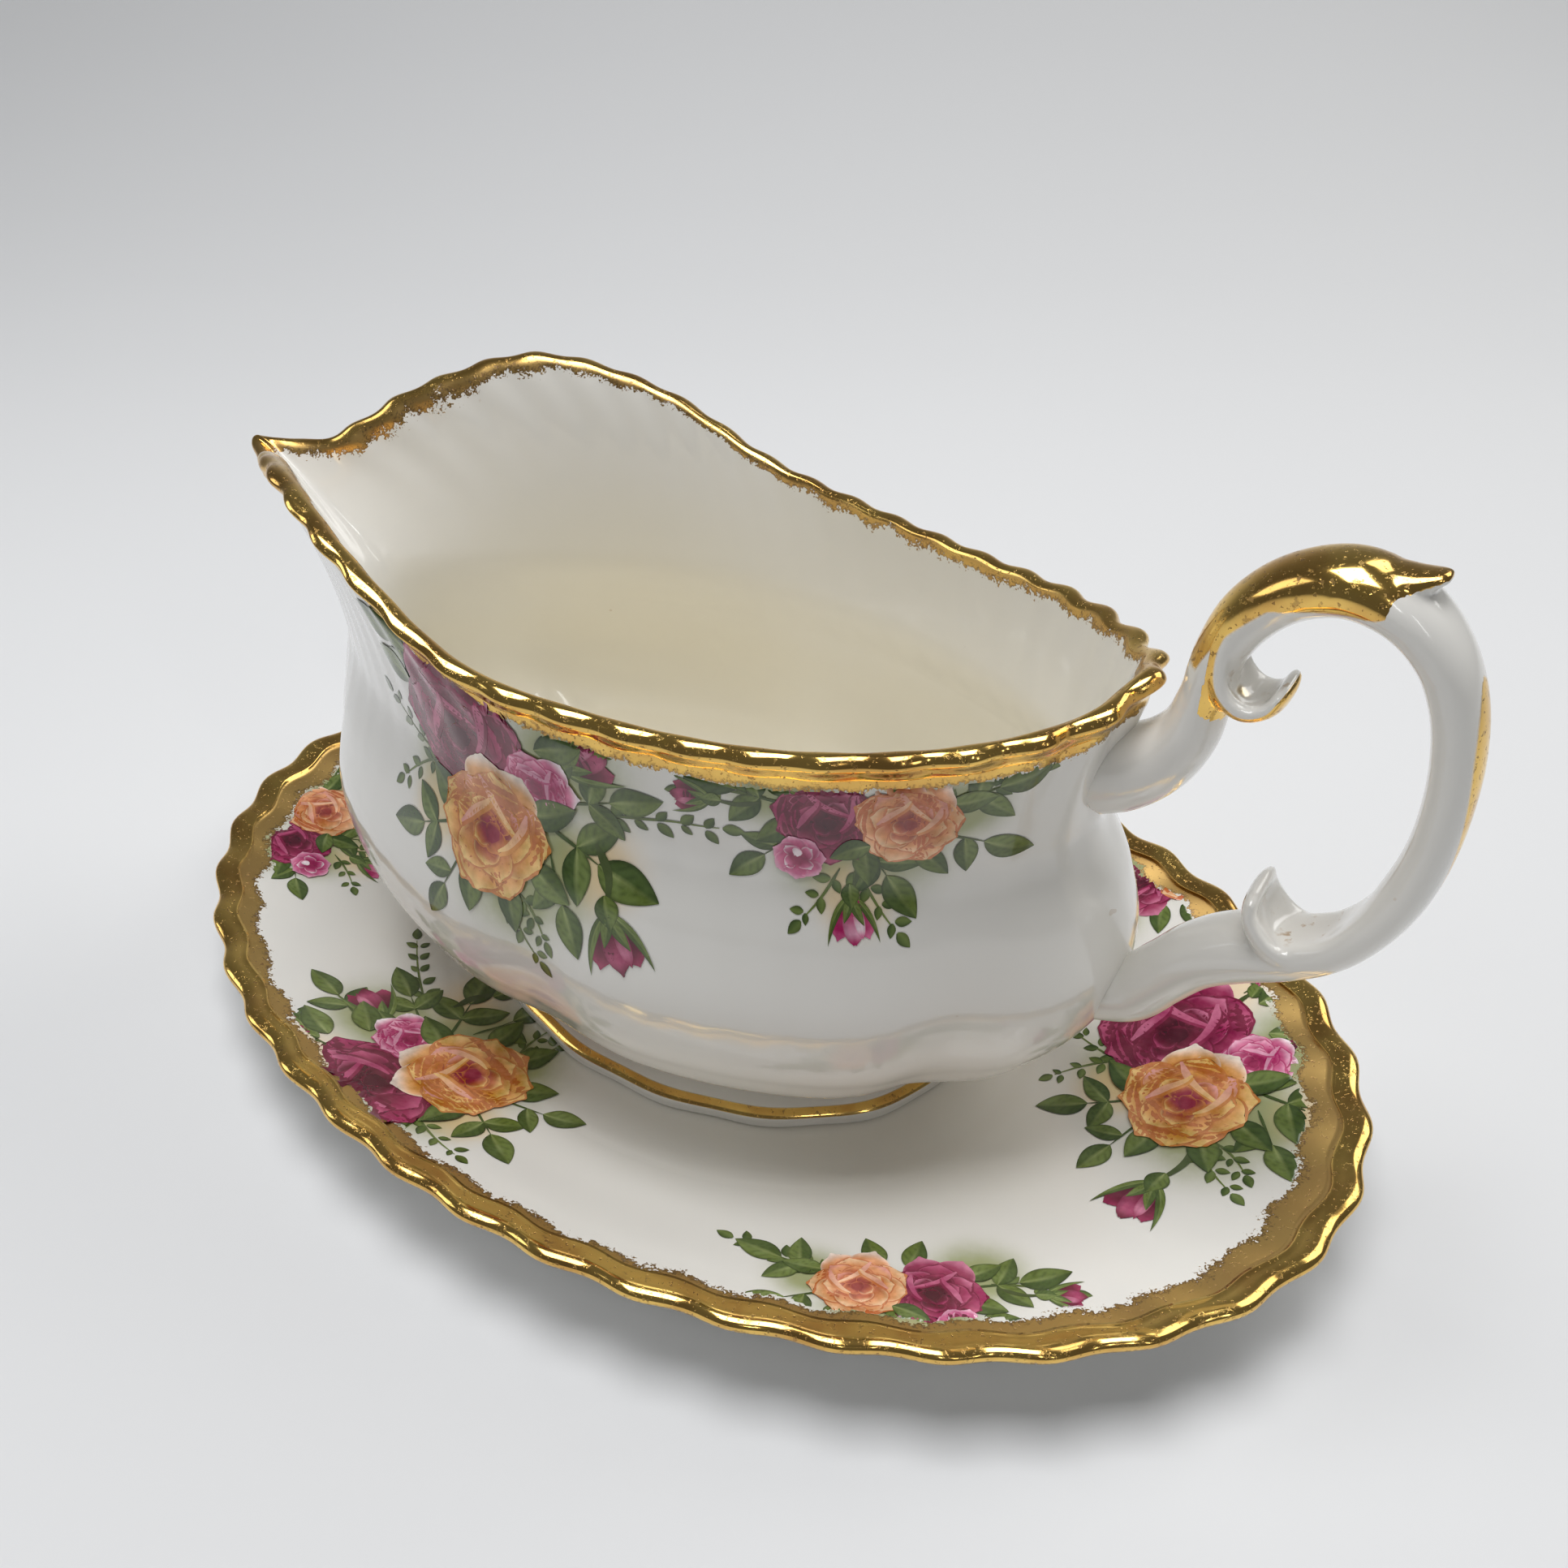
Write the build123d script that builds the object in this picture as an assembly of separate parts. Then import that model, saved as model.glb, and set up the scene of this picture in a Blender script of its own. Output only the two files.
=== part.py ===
from build123d import *
import math
import os

# Footed gravy boat on its oval stand, in millimetres.
# +X points to the handle, -X to the spout, +Z up. The origin is the middle of the stand's
# foot ring on the table, under the middle of the stand.

# ---- stand -----------------------------------------------------------------------------
STAND_LENGTH = 222.0
STAND_WIDTH = 149.0
STAND_RIM_HEIGHT = 18.0        # top of the rim above the table
STAND_THICKNESS = 3.6
STAND_LIP = 2.2                # thickness of the rim's edge
WELL_FLOOR = 5.5               # height of the flat well that the boat stands in
WELL_MARGIN = 5.5              # from the boat's foot to where the well's side starts
WELL_RISE = 0.8                # step up at the side of the well
WELL_STEP = 6.0                # width of that step
STAND_SCALLOPS = 40
SCALLOP_DEPTH = 0.6            # how far the scallops move the edge in and out
STAND_EDGE_FLAT = 0.5          # level top of the rim's edge
STAND_FOOT_INSET = 5.0         # stand's foot ring, inside the boat's foot outline
STAND_FOOT_WALL = 4.5
STAND_FOOT_FLARE = 1.0         # how much the ring widens from the table to the plate
# The plate's rise from the well to the rim: share of the way out, share of the rise.
STAND_SLOPE = [(0.0, 0.0), (0.35, 0.23), (0.7, 0.60), (1.0, 1.0)]

# ---- boat ------------------------------------------------------------------------------
FOOT_LENGTH = 94.0
FOOT_WIDTH = 68.0
FOOT_HEIGHT = 8.0              # from the well floor to the underside of the bowl
FOOT_CENTRE_X = -3.0
FOOT_WAIST_INSET = 8.5         # how far the pedestal draws in above its edge
# The pedestal's profile: share of its height, share of the waist's inset.
FOOT_PROFILE = [(0.0, 0.0), (0.25, 0.07), (0.55, 0.52), (1.0, 1.0)]
FOOT_WALL = 4.0
BOAT_WALL = 2.8
BOWL_FLOOR = 4.2               # thickness of the bottom inside the bowl
BOAT_SCALE = 1.0               # size of the bowl and handle round the foot's centre line

# Heights below are above the bowl's underside. Each row: height, back reach, front reach,
# half width, x of the widest place, how much the front narrows, depth of the pinched creases.
BELLY = [
    (0.0, 35.0, 43.0, 24.5, -5.0, 0.00, 0.000),
    (3.0, 44.0, 53.0, 30.0, -5.0, 0.00, 0.018),
    (6.5, 54.0, 65.0, 37.5, -6.0, 0.03, 0.040),
    (16.5, 65.5, 78.0, 45.5, -7.0, 0.08, 0.045),
    (28.5, 70.0, 84.5, 47.5, -8.0, 0.12, 0.035),
    (41.5, 67.5, 82.5, 44.5, -9.0, 0.18, 0.018),
    (54.5, 62.0, 80.0, 40.0, -11.0, 0.28, 0.000),
]
# The rim, from the handle round to the spout. Each row: angle, x, half width, height, and
# how late the wall under it turns out (1 is a straight slope, 4 a sudden one).
RIM = [
    (0, 67.7, 0.0, 80.5, 2.2),
    (20, 62.4, 12.9, 77.4, 2.2),
    (40, 47.2, 25.8, 74.6, 2.2),
    (60, 23.9, 35.1, 72.2, 2.2),
    (75, 2.7, 39.7, 72.4, 2.2),
    (90, -20.0, 42.3, 75.0, 2.3),
    (105, -42.9, 39.7, 84.5, 2.6),
    (120, -64.3, 31.3, 89.1, 3.3),
    (135, -82.6, 19.0, 83.3, 3.8),
    (150, -96.6, 8.2, 74.2, 3.1),
    (165, -105.4, 3.0, 73.7, 2.0),
    (180, -108.6, 0.0, 74.4, 1.6),
]
CREASE_ANGLES = (34, 92, 150)  # degrees from the handle, on both sides
CREASE_SPREAD = 9.2            # degrees
BACK_NARROW = 0.06             # how much the back narrows towards the handle
FLARE_START = 40.5             # height where the wall starts to turn out to the rim

# ---- handle ----------------------------------------------------------------------------
# Each row: x, height, half thickness in the plane of the loop, half width across it.
LOOP = [
    (54.0, 60.6, 6.8, 6.0),
    (62.5, 63.5, 6.6, 6.2),
    (68.8, 67.5, 5.4, 5.9),
    (72.6, 73.1, 4.2, 5.6),
    (74.0, 79.5, 3.4, 5.2),
    (74.8, 86.0, 3.3, 5.0),
    (77.4, 92.3, 3.8, 5.0),
    (82.2, 97.3, 4.0, 5.4),
    (88.6, 99.7, 4.0, 6.0),
    (95.0, 98.1, 3.6, 6.0),
    (99.8, 93.9, 3.3, 5.6),
    (103.0, 87.9, 3.2, 5.2),
    (104.7, 81.0, 3.1, 5.0),
    (105.3, 73.8, 3.0, 4.9),
    (105.0, 66.5, 3.0, 4.8),
    (103.7, 59.7, 3.1, 4.9),
    (101.0, 53.5, 3.4, 5.1),
    (97.2, 48.5, 3.9, 5.4),
    (92.0, 44.9, 4.5, 5.7),
    (85.8, 41.7, 4.9, 5.8),
    (80.2, 37.5, 4.8, 5.7),
    (76.0, 32.1, 4.7, 5.7),
    (71.8, 26.9, 5.0, 6.0),
    (64.0, 24.6, 5.6, 6.4),
]
CURL = [
    (77.4, 92.3, 3.3, 4.7),
    (75.9, 87.1, 3.1, 5.2),
    (77.0, 82.9, 2.9, 5.4),
    (79.8, 80.9, 2.5, 5.2),
    (82.4, 81.7, 1.9, 4.7),
    (83.6, 83.9, 1.0, 3.8),
]
THUMB_REST = [
    (90.5, 100.0, 3.2, 4.6),
    (94.6, 101.4, 2.0, 3.6),
    (97.6, 103.2, 0.9, 2.2),
]
LOWER_SCROLL = [
    (91.4, 45.6, 3.6, 5.2),
    (87.6, 48.7, 2.4, 5.4),
    (86.4, 51.9, 1.2, 5.0),
]

# ---- what follows from the sizes above ---------------------------------------------------
BOWL_BASE = WELL_FLOOR + FOOT_HEIGHT
SECTION_POINTS = 48            # round a section
POINTS_PER_WAVE = 6            # where its edge is scalloped
BLOCK_HEIGHTS = (0, 3, 6.5, 11, 16.5, 22, 28.5, 35, 41.5, 48, 54.5, 60, 65, 70, 75)
OUTSIDE_RINGS = (0.0, 0.04, 0.09, 0.15, 0.22, 0.3, 0.39, 0.48, 0.57, 0.66, 0.74, 0.82, 0.89, 0.95)
INSIDE_RINGS = (0.95, 0.88, 0.8, 0.71, 0.61, 0.51, 0.41, 0.31, 0.22, 0.14, 0.07, 0.03, 0.0)
STEEPEST = 2.6                 # most that a leaning wall is widened in a level section
SLOPE_STEP = 0.5               # height over which the wall's lean is measured
CUT_CLEAR = 0.01               # how far a cut runs past the face it opens
JOIN = 1.0                     # how far shapes that are joined or cut run past each other


def through(rows, column, at, ends=None):
    """Smooth curve through the rows' values in one column; rows are sorted by column 0."""
    xs = [row[0] for row in rows]
    ys = [row[column] for row in rows]
    last = len(xs) - 1
    slopes = []
    for i in range(last + 1):
        if 0 < i < last:
            before = (ys[i] - ys[i - 1]) / (xs[i] - xs[i - 1])
            after = (ys[i + 1] - ys[i]) / (xs[i + 1] - xs[i])
            share = (xs[i] - xs[i - 1]) / (xs[i + 1] - xs[i - 1])
            slopes.append(before * (1 - share) + after * share)
        else:
            j = max(i, 1)
            slopes.append((ys[j] - ys[j - 1]) / (xs[j] - xs[j - 1]))
    if ends:
        slopes[0], slopes[-1] = ends
    i = 0
    while i < last - 1 and at > xs[i + 1]:
        i += 1
    step = xs[i + 1] - xs[i]
    t = (at - xs[i]) / step
    return (
        ys[i] * (2 * t**3 - 3 * t**2 + 1)
        + step * slopes[i] * (t**3 - 2 * t**2 + t)
        + ys[i + 1] * (3 * t**2 - 2 * t**3)
        + step * slopes[i + 1] * (t**3 - t**2)
    )


def rim_point(degrees):
    """x, y and height of the rim at an angle between -180 and 180, and the turn of its wall."""
    side = -1 if degrees < 0 else 1
    angle = abs(degrees)
    before, after = RIM[1], RIM[-2]
    rows = [(-before[0], before[1], -before[2], *before[3:])] + RIM
    rows.append((360 - after[0], after[1], -after[2], *after[3:]))
    x, y, height, power = (through(rows, column, angle) for column in (1, 2, 3, 4))
    return x * BOAT_SCALE, side * y * BOAT_SCALE, height * BOAT_SCALE, power


def belly_point(height, degrees):
    """Point of the rounded body at a height above the bowl's underside."""
    top = BELLY[-1][0]
    level = min(height / BOAT_SCALE, top)
    steep = [(BELLY[1][c] - BELLY[0][c]) / (BELLY[1][0] - BELLY[0][0]) for c in range(7)]
    back, front, width, widest, narrow, crease = (
        through(BELLY, column, level, (steep[column], 0.0)) for column in range(1, 7)
    )
    turn = math.radians(degrees)
    across, along = math.sin(turn), math.cos(turn)
    reach = back - widest if along > 0 else front + widest
    taper = 1 - (BACK_NARROW if along > 0 else narrow) * along**2
    pinch = 0.0
    for place in CREASE_ANGLES:
        pinch += math.exp(-(((abs(degrees) - place) / CREASE_SPREAD) ** 2))
    drawn_in = 1 - crease * pinch
    x = widest + reach * along * drawn_in
    y = width * across * taper * drawn_in
    return x * BOAT_SCALE, y * BOAT_SCALE


def bowl_point(height, degrees):
    """Point of the bowl's outside at a height above its underside."""
    x, y = belly_point(height, degrees)
    rim_x, rim_y, rim_height, power = rim_point(degrees)
    under_x, under_y = belly_point(rim_height, degrees)
    start = FLARE_START * BOAT_SCALE
    rise = max(height - start, 0.0) / (rim_height - start)
    flare = rise**power if rise < 1 else 1 + power * (1 - math.exp(1 - rise))
    return x + (rim_x - under_x) * flare, y + (rim_y - under_y) * min(flare, 1.0)


def bowl_ring(height_at, inset=0.0):
    """Closed ring round the bowl: its height at each angle, and how far in from the outside."""
    angles = [360.0 * i / SECTION_POINTS for i in range(SECTION_POINTS)]
    angles = [a if a <= 180 else a - 360 for a in angles]
    heights = [height_at(a) for a in angles]
    ring = [bowl_point(h, a) for h, a in zip(heights, angles)]
    points = []
    for i, (x, y) in enumerate(ring):
        before, after = ring[i - 1], ring[(i + 1) % SECTION_POINTS]
        along_x, along_y = after[0] - before[0], after[1] - before[1]
        size = math.hypot(along_x, along_y)
        out_x, out_y = along_y / size, -along_x / size
        low = bowl_point(max(heights[i] - SLOPE_STEP, 0), angles[i])
        high = bowl_point(heights[i] + SLOPE_STEP, angles[i])
        lean = (high[0] - low[0]) * out_x + (high[1] - low[1]) * out_y
        move = inset * min(math.hypot(1, lean), STEEPEST)
        x -= out_x * move
        # in the narrow spout the two sides come close, so the wall thins smoothly there
        aside = abs(out_y) * move
        y = math.copysign(math.hypot(y, aside) - aside, y)
        points.append((x, y, BOWL_BASE + heights[i]))
    return Wire([Edge.make_spline(points, periodic=True)])


def make_bowl():
    """The bowl as one skin: up the outside, over the round rim and down the inside."""
    rings = []
    for share in OUTSIDE_RINGS:
        rings.append(bowl_ring(lambda a: share * (rim_point(a)[2] - BOAT_WALL)))
    for turn in (0, 45, 90, 135, 180):
        inset = BOAT_WALL / 2 * (1 - math.cos(math.radians(turn)))
        drop = BOAT_WALL / 2 * (1 - math.sin(math.radians(turn)))
        rings.append(bowl_ring(lambda a: rim_point(a)[2] - drop, inset))
    for share in INSIDE_RINGS:
        rings.append(bowl_ring(
            lambda a: BOWL_FLOOR + share * (rim_point(a)[2] - BOAT_WALL - BOWL_FLOOR), BOAT_WALL))
    return Solid.make_loft(rings)


def bowl_body():
    """The bowl's outside as a solid block, which the foot and the handle are fitted to."""
    return Solid.make_loft([bowl_ring(lambda a: h * BOAT_SCALE) for h in BLOCK_HEIGHTS])


def oval(length, width, height, x=0.0, waves=0, depth=0.0):
    """Closed oval section with waves in its edge."""
    count = max(SECTION_POINTS, POINTS_PER_WAVE * waves)
    points = []
    for i in range(count):
        turn = 2 * math.pi * i / count
        wave = depth * math.cos(waves * turn)
        px = x + (length / 2 + wave) * math.cos(turn)
        py = (width / 2 + wave) * math.sin(turn)
        points.append((px, py, height))
    return Wire([Edge.make_spline(points, periodic=True)])


def make_stand():
    """Oval plate: flat well, rising rim with a scalloped edge, and a foot ring under it."""
    well_length = FOOT_LENGTH + 2 * WELL_MARGIN
    well_width = FOOT_WIDTH + 2 * WELL_MARGIN
    length = STAND_LENGTH - 2 * SCALLOP_DEPTH
    width = STAND_WIDTH - 2 * SCALLOP_DEPTH
    first_length = well_length + 2 * WELL_STEP
    first_width = well_width + 2 * WELL_STEP
    first_height = WELL_FLOOR + WELL_RISE

    def spread(share, drop):
        waves = STAND_SCALLOPS if share == 1 else 0
        size = first_length + (length - first_length) * share
        across = first_width + (width - first_width) * share
        rise = through(STAND_SLOPE, 1, share)
        level = first_height + (STAND_RIM_HEIGHT - first_height) * rise - drop
        return oval(size, across, level, 0, waves, SCALLOP_DEPTH)

    underside = WELL_FLOOR - STAND_THICKNESS
    bottom = [oval(well_length, well_width, underside)]
    for share, _ in STAND_SLOPE[1:-1]:
        bottom.append(spread(share, STAND_THICKNESS))
    bottom.append(spread(1.0, STAND_LIP))
    plate = Solid.make_loft(bottom)
    edge = Solid.make_loft([bottom[-1], spread(1.0, 0.0)], ruled=True)
    hollow = [oval(well_length, well_width, WELL_FLOOR), spread(0.0, 0.0)]
    for share, _ in STAND_SLOPE[1:-1]:
        hollow.append(spread(share, 0.0))
    edge_in = 2 * STAND_EDGE_FLAT
    hollow.append(oval(length - edge_in, width - edge_in, STAND_RIM_HEIGHT + CUT_CLEAR))
    dish = (plate + edge) - Solid.make_loft(hollow)

    ring_length = FOOT_LENGTH - 2 * STAND_FOOT_INSET
    ring_width = FOOT_WIDTH - 2 * STAND_FOOT_INSET
    top_length = ring_length + 2 * STAND_FOOT_FLARE
    top_width = ring_width + 2 * STAND_FOOT_FLARE
    outer = [oval(ring_length, ring_width, 0), oval(top_length, top_width, underside + JOIN)]
    inner_length = ring_length - 2 * STAND_FOOT_WALL
    inner_width = ring_width - 2 * STAND_FOOT_WALL
    inner = [oval(inner_length, inner_width, -JOIN), oval(inner_length, inner_width, underside)]
    ring = Solid.make_loft(outer, ruled=True) - Solid.make_loft(inner, ruled=True)
    return dish + ring


def make_foot(body):
    """Hollow pedestal ring: a flared edge on the well floor, drawn in under the bowl."""
    def level(share, wall, reach=0.0):
        inset = 2 * (through(FOOT_PROFILE, 1, share) * FOOT_WAIST_INSET + wall)
        height = WELL_FLOOR + FOOT_HEIGHT * share + reach
        return oval(FOOT_LENGTH - inset, FOOT_WIDTH - inset, height, FOOT_CENTRE_X)

    shares = [row[0] for row in FOOT_PROFILE]
    outer = [level(s, 0.0) for s in shares] + [level(1.0, 0.0, FOOT_WALL)]
    inner = [level(s, FOOT_WALL) for s in shares] + [level(1.0, FOOT_WALL, FOOT_WALL)]
    ring = Solid.make_loft(outer) - Solid.make_loft(inner)
    return ring - body


def bar(rows):
    """Round-edged bar along a path in the XZ plane, with its own thickness at each row."""
    places = [(x * BOAT_SCALE, BOWL_BASE + h * BOAT_SCALE) for x, h, _, _ in rows]
    sections = []
    for i, (x, z) in enumerate(places):
        before, after = places[max(i - 1, 0)], places[min(i + 1, len(places) - 1)]
        heading = Vector(after[0] - before[0], 0, after[1] - before[1])
        plane = Plane(origin=(x, 0, z), x_dir=(0, 1, 0), z_dir=heading)
        thickness, width = rows[i][2] * BOAT_SCALE, rows[i][3] * BOAT_SCALE
        if width > thickness:
            edge = Edge.make_ellipse(width, thickness, plane)
        else:
            turned = Plane(origin=plane.origin, x_dir=plane.y_dir, z_dir=heading)
            edge = Edge.make_ellipse(thickness, width, turned)
        sections.append(Wire([edge]))
    return Solid.make_loft(sections)


def make_handle(body):
    """Scroll handle: the loop with its inner curl, thumb rest and lower scroll."""
    handle = bar(LOOP) + bar(CURL) + bar(THUMB_REST) + bar(LOWER_SCROLL)
    return handle - body


body = bowl_body()
parts = {
    "stand": make_stand(),
    "boat_bowl": make_bowl(),
    "boat_foot": make_foot(body),
    "boat_handle": make_handle(body),
}

os.makedirs("parts", exist_ok=True)
for name, shape in parts.items():
    export_step(shape, f"parts/{name}.step")
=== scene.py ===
import math
import bpy
import numpy as np
from mathutils import Matrix, Vector
from mathutils.bvhtree import BVHTree


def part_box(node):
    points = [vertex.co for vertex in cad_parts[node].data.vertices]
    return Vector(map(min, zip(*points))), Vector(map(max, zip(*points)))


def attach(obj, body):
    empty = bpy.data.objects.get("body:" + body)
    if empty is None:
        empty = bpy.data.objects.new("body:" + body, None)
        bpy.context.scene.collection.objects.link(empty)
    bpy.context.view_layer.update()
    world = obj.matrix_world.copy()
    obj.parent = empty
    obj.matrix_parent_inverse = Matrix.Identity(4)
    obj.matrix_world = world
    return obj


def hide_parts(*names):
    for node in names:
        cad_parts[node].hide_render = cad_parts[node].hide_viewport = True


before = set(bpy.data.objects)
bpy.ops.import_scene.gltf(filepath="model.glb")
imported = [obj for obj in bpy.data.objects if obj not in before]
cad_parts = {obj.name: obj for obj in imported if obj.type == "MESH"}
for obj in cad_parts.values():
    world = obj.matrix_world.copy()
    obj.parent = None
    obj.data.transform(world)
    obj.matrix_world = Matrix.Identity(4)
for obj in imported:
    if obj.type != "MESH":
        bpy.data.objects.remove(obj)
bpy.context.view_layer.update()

MM = 0.001

# ---- places taken from the frame, in millimetres ------------------------------------------
stand_high = np.array(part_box("stand")[1]) / MM
foot_low, foot_high = (np.array(corner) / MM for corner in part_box("boat_foot"))
WELL_FLOOR = foot_low[2]
BOWL_BASE = foot_high[2]
STAND_HALF_LENGTH = stand_high[0] - 0.05
STAND_HALF_WIDTH = stand_high[1] - 0.05
STAND_RIM_HEIGHT = stand_high[2]
FOOT_HALF_LENGTH = (foot_high[0] - foot_low[0]) / 2
FOOT_HALF_WIDTH = (foot_high[1] - foot_low[1]) / 2
FOOT_CENTRE_X = (foot_high[0] + foot_low[0]) / 2


# ---- shader maths -------------------------------------------------------------------------
class Sock:
    """A shader socket that can be used in Python expressions."""

    def __init__(self, shader, out):
        self.shader, self.out = shader, out

    def _math(self, operation, *values):
        return self.shader.node("ShaderNodeMath", {"operation": operation}, *values)

    def __add__(self, other):
        return self._math("ADD", self, other)

    def __radd__(self, other):
        return self._math("ADD", other, self)

    def __sub__(self, other):
        return self._math("SUBTRACT", self, other)

    def __rsub__(self, other):
        return self._math("SUBTRACT", other, self)

    def __mul__(self, other):
        return self._math("MULTIPLY", self, other)

    def __rmul__(self, other):
        return self._math("MULTIPLY", other, self)

    def at_least(self, other):
        return self._math("MAXIMUM", self, other)

    def ramp(self, low, high):
        """0 below low and 1 above high, with a soft step between."""
        settings = {"interpolation_type": "SMOOTHSTEP", "clamp": True}
        return self.shader.node("ShaderNodeMapRange", settings, self, low, high, 0.0, 1.0)


class Shader:
    """One material's node tree, with its Principled node."""

    def __init__(self, name):
        self.material = bpy.data.materials.new(name)
        self.material.use_nodes = True
        self.tree = self.material.node_tree
        self.principled = self.tree.nodes["Principled BSDF"]

    def node(self, kind, settings, *values, out=0, **named):
        made = self.tree.nodes.new(kind)
        for name, value in settings.items():
            setattr(made, name, value)
        for socket, value in zip(made.inputs, values):
            self.feed(socket, value)
        for name, value in named.items():
            self.feed(made.inputs[name.replace("_", " ")], value)
        return Sock(self, made.outputs[out])

    def feed(self, socket, value):
        """Link a socket to another one, or set it to a constant."""
        if isinstance(value, Sock):
            self.tree.links.new(value.out, socket)
        else:
            socket.default_value = value

    def painted(self, name, colour=False):
        return self.node("ShaderNodeAttribute", {"attribute_name": name}, out=0 if colour else 2)

    def place(self):
        return self.node("ShaderNodeTexCoord", {}, out=3)

    def noise(self, scale, detail=3.0, rough=0.5, at=None):
        return self.node("ShaderNodeTexNoise", {}, Vector=at or self.place(), Scale=scale,
                         Detail=detail, Roughness=rough)

    def mix(self, share, first, second):
        made = self.tree.nodes.new("ShaderNodeMix")
        made.data_type = "RGBA"
        for socket, value in ((0, share), (6, first), (7, second)):
            self.feed(made.inputs[socket], value)
        return Sock(self, made.outputs[2])

    def bump(self, height, depth, strength=1.0):
        """Raised detail: height 0 to 1 stands for a depth in metres."""
        return self.node("ShaderNodeBump", {}, Height=height, Distance=depth, Strength=strength)

    def finish(self, **inputs):
        for name, value in inputs.items():
            self.feed(self.principled.inputs[name.replace("_", " ")], value)
        return self.material


def linear(red, green, blue):
    """Colour as a person mixes it, 0 to 255, turned into light."""
    def light(value):
        value = value / 255
        return value / 12.92 if value <= 0.04045 else ((value + 0.055) / 1.055) ** 2.4
    return (light(red), light(green), light(blue), 1.0)


# ---- mesh helpers -------------------------------------------------------------------------
def mesh_object(name, points, faces, material, paints=None):
    """A smooth mesh piece from points in millimetres, with painted values on its points."""
    mesh = bpy.data.meshes.new(name)
    mesh.from_pydata((np.asarray(points) * MM).tolist(), [], faces)
    for paint, values in (paints or {}).items():
        values = np.asarray(values, dtype=np.float32)
        if values.ndim == 2:
            layer = mesh.attributes.new(paint, "FLOAT_COLOR", "POINT")
            layer.data.foreach_set("color", values.ravel())
        else:
            layer = mesh.attributes.new(paint, "FLOAT", "POINT")
            layer.data.foreach_set("value", values.ravel())
    mesh.validate()
    mesh.polygons.foreach_set("use_smooth", np.ones(len(mesh.polygons), dtype=bool))
    mesh.materials.append(material)
    piece = bpy.data.objects.new(name, mesh)
    bpy.context.scene.collection.objects.link(piece)
    return piece


def grid_faces(rows, columns, closed=True, start=0, ring=False):
    """Four-sided faces of a grid of points, numbered row by row; a ring's last row meets its first."""
    row, column = np.meshgrid(np.arange(rows if ring else rows - 1),
                              np.arange(columns if closed else columns - 1), indexing="ij")
    beside, above = (column + 1) % columns, (row + 1) % rows
    faces = np.stack([row * columns + column, row * columns + beside,
                      above * columns + beside, above * columns + column], -1)
    return (faces.reshape(-1, 4) + start).tolist()


def through(rows, column, at, ends=None):
    """Smooth curve through the rows' values in one column; rows are sorted by column 0."""
    xs = np.array([row[0] for row in rows], float)
    ys = np.array([row[column] for row in rows], float)
    at = np.asarray(at, float)
    step = np.diff(xs)
    rise = np.diff(ys) / step
    share = step[:-1] / (step[:-1] + step[1:])
    slopes = np.concatenate([rise[:1], rise[:-1] * (1 - share) + rise[1:] * share, rise[-1:]])
    if ends:
        slopes[0], slopes[-1] = ends
    i = np.clip(np.searchsorted(xs, at, side="left") - 1, 0, len(xs) - 2)
    t = (at - xs[i]) / step[i]
    return (ys[i] * (2 * t**3 - 3 * t**2 + 1) + step[i] * slopes[i] * (t**3 - 2 * t**2 + t)
            + ys[i + 1] * (3 * t**2 - 2 * t**3) + step[i] * slopes[i + 1] * (t**3 - t**2))


def soft(values, low, high):
    t = np.clip((np.asarray(values, float) - low) / (high - low), 0, 1)
    return t * t * (3 - 2 * t)


# ---- the bowl's shape ---------------------------------------------------------------------
# Each row: height above the bowl's underside, back reach, front reach, half width, x of the
# widest place, how much the front narrows, depth of the pinched creases.
BELLY = [
    (0.0, 35.0, 43.0, 24.5, -5.0, 0.00, 0.000),
    (3.0, 44.0, 53.0, 30.0, -5.0, 0.00, 0.018),
    (6.5, 54.0, 65.0, 37.5, -6.0, 0.03, 0.040),
    (16.5, 65.5, 78.0, 45.5, -7.0, 0.08, 0.045),
    (28.5, 70.0, 84.5, 47.5, -8.0, 0.12, 0.035),
    (41.5, 67.5, 82.5, 44.5, -9.0, 0.18, 0.018),
    (54.5, 62.0, 80.0, 40.0, -11.0, 0.28, 0.000),
]
# Each row: angle from the handle, x, half width, height, how late the wall turns out.
RIM = [
    (0, 67.7, 0.0, 80.5, 2.2),
    (20, 62.4, 12.9, 77.4, 2.2),
    (40, 47.2, 25.8, 74.6, 2.2),
    (60, 23.9, 35.1, 72.2, 2.2),
    (75, 2.7, 39.7, 72.4, 2.2),
    (90, -20.0, 42.3, 75.0, 2.3),
    (105, -42.9, 39.7, 84.5, 2.6),
    (120, -64.3, 31.3, 89.1, 3.3),
    (135, -82.6, 19.0, 83.3, 3.8),
    (150, -96.6, 8.2, 74.2, 3.1),
    (165, -105.4, 3.0, 73.7, 2.0),
    (180, -108.6, 0.0, 74.4, 1.6),
]
CREASE_ANGLES = (34, 92, 150)
CREASE_SPREAD = 9.2
FLARE_START = 40.5
WALL = 2.8
BOWL_FLOOR = 4.2
BOWL_MIDDLE_X = -4.0
STEEPEST = 2.6
BOAT_SCALLOPS = 44
BOAT_SCALLOP_DEPTH = 0.24
BOAT_BACK_SCALLOPS = 0.4       # this much deeper at the handle's end
BOAT_FLUTE_FADE = 15.0
BEAD, BEAD_DEPTH, BEAD_HALF = 0.5, 1.5, 1.1      # the rolled bead outside the rim
BOWL_COLUMNS = 528


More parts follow.
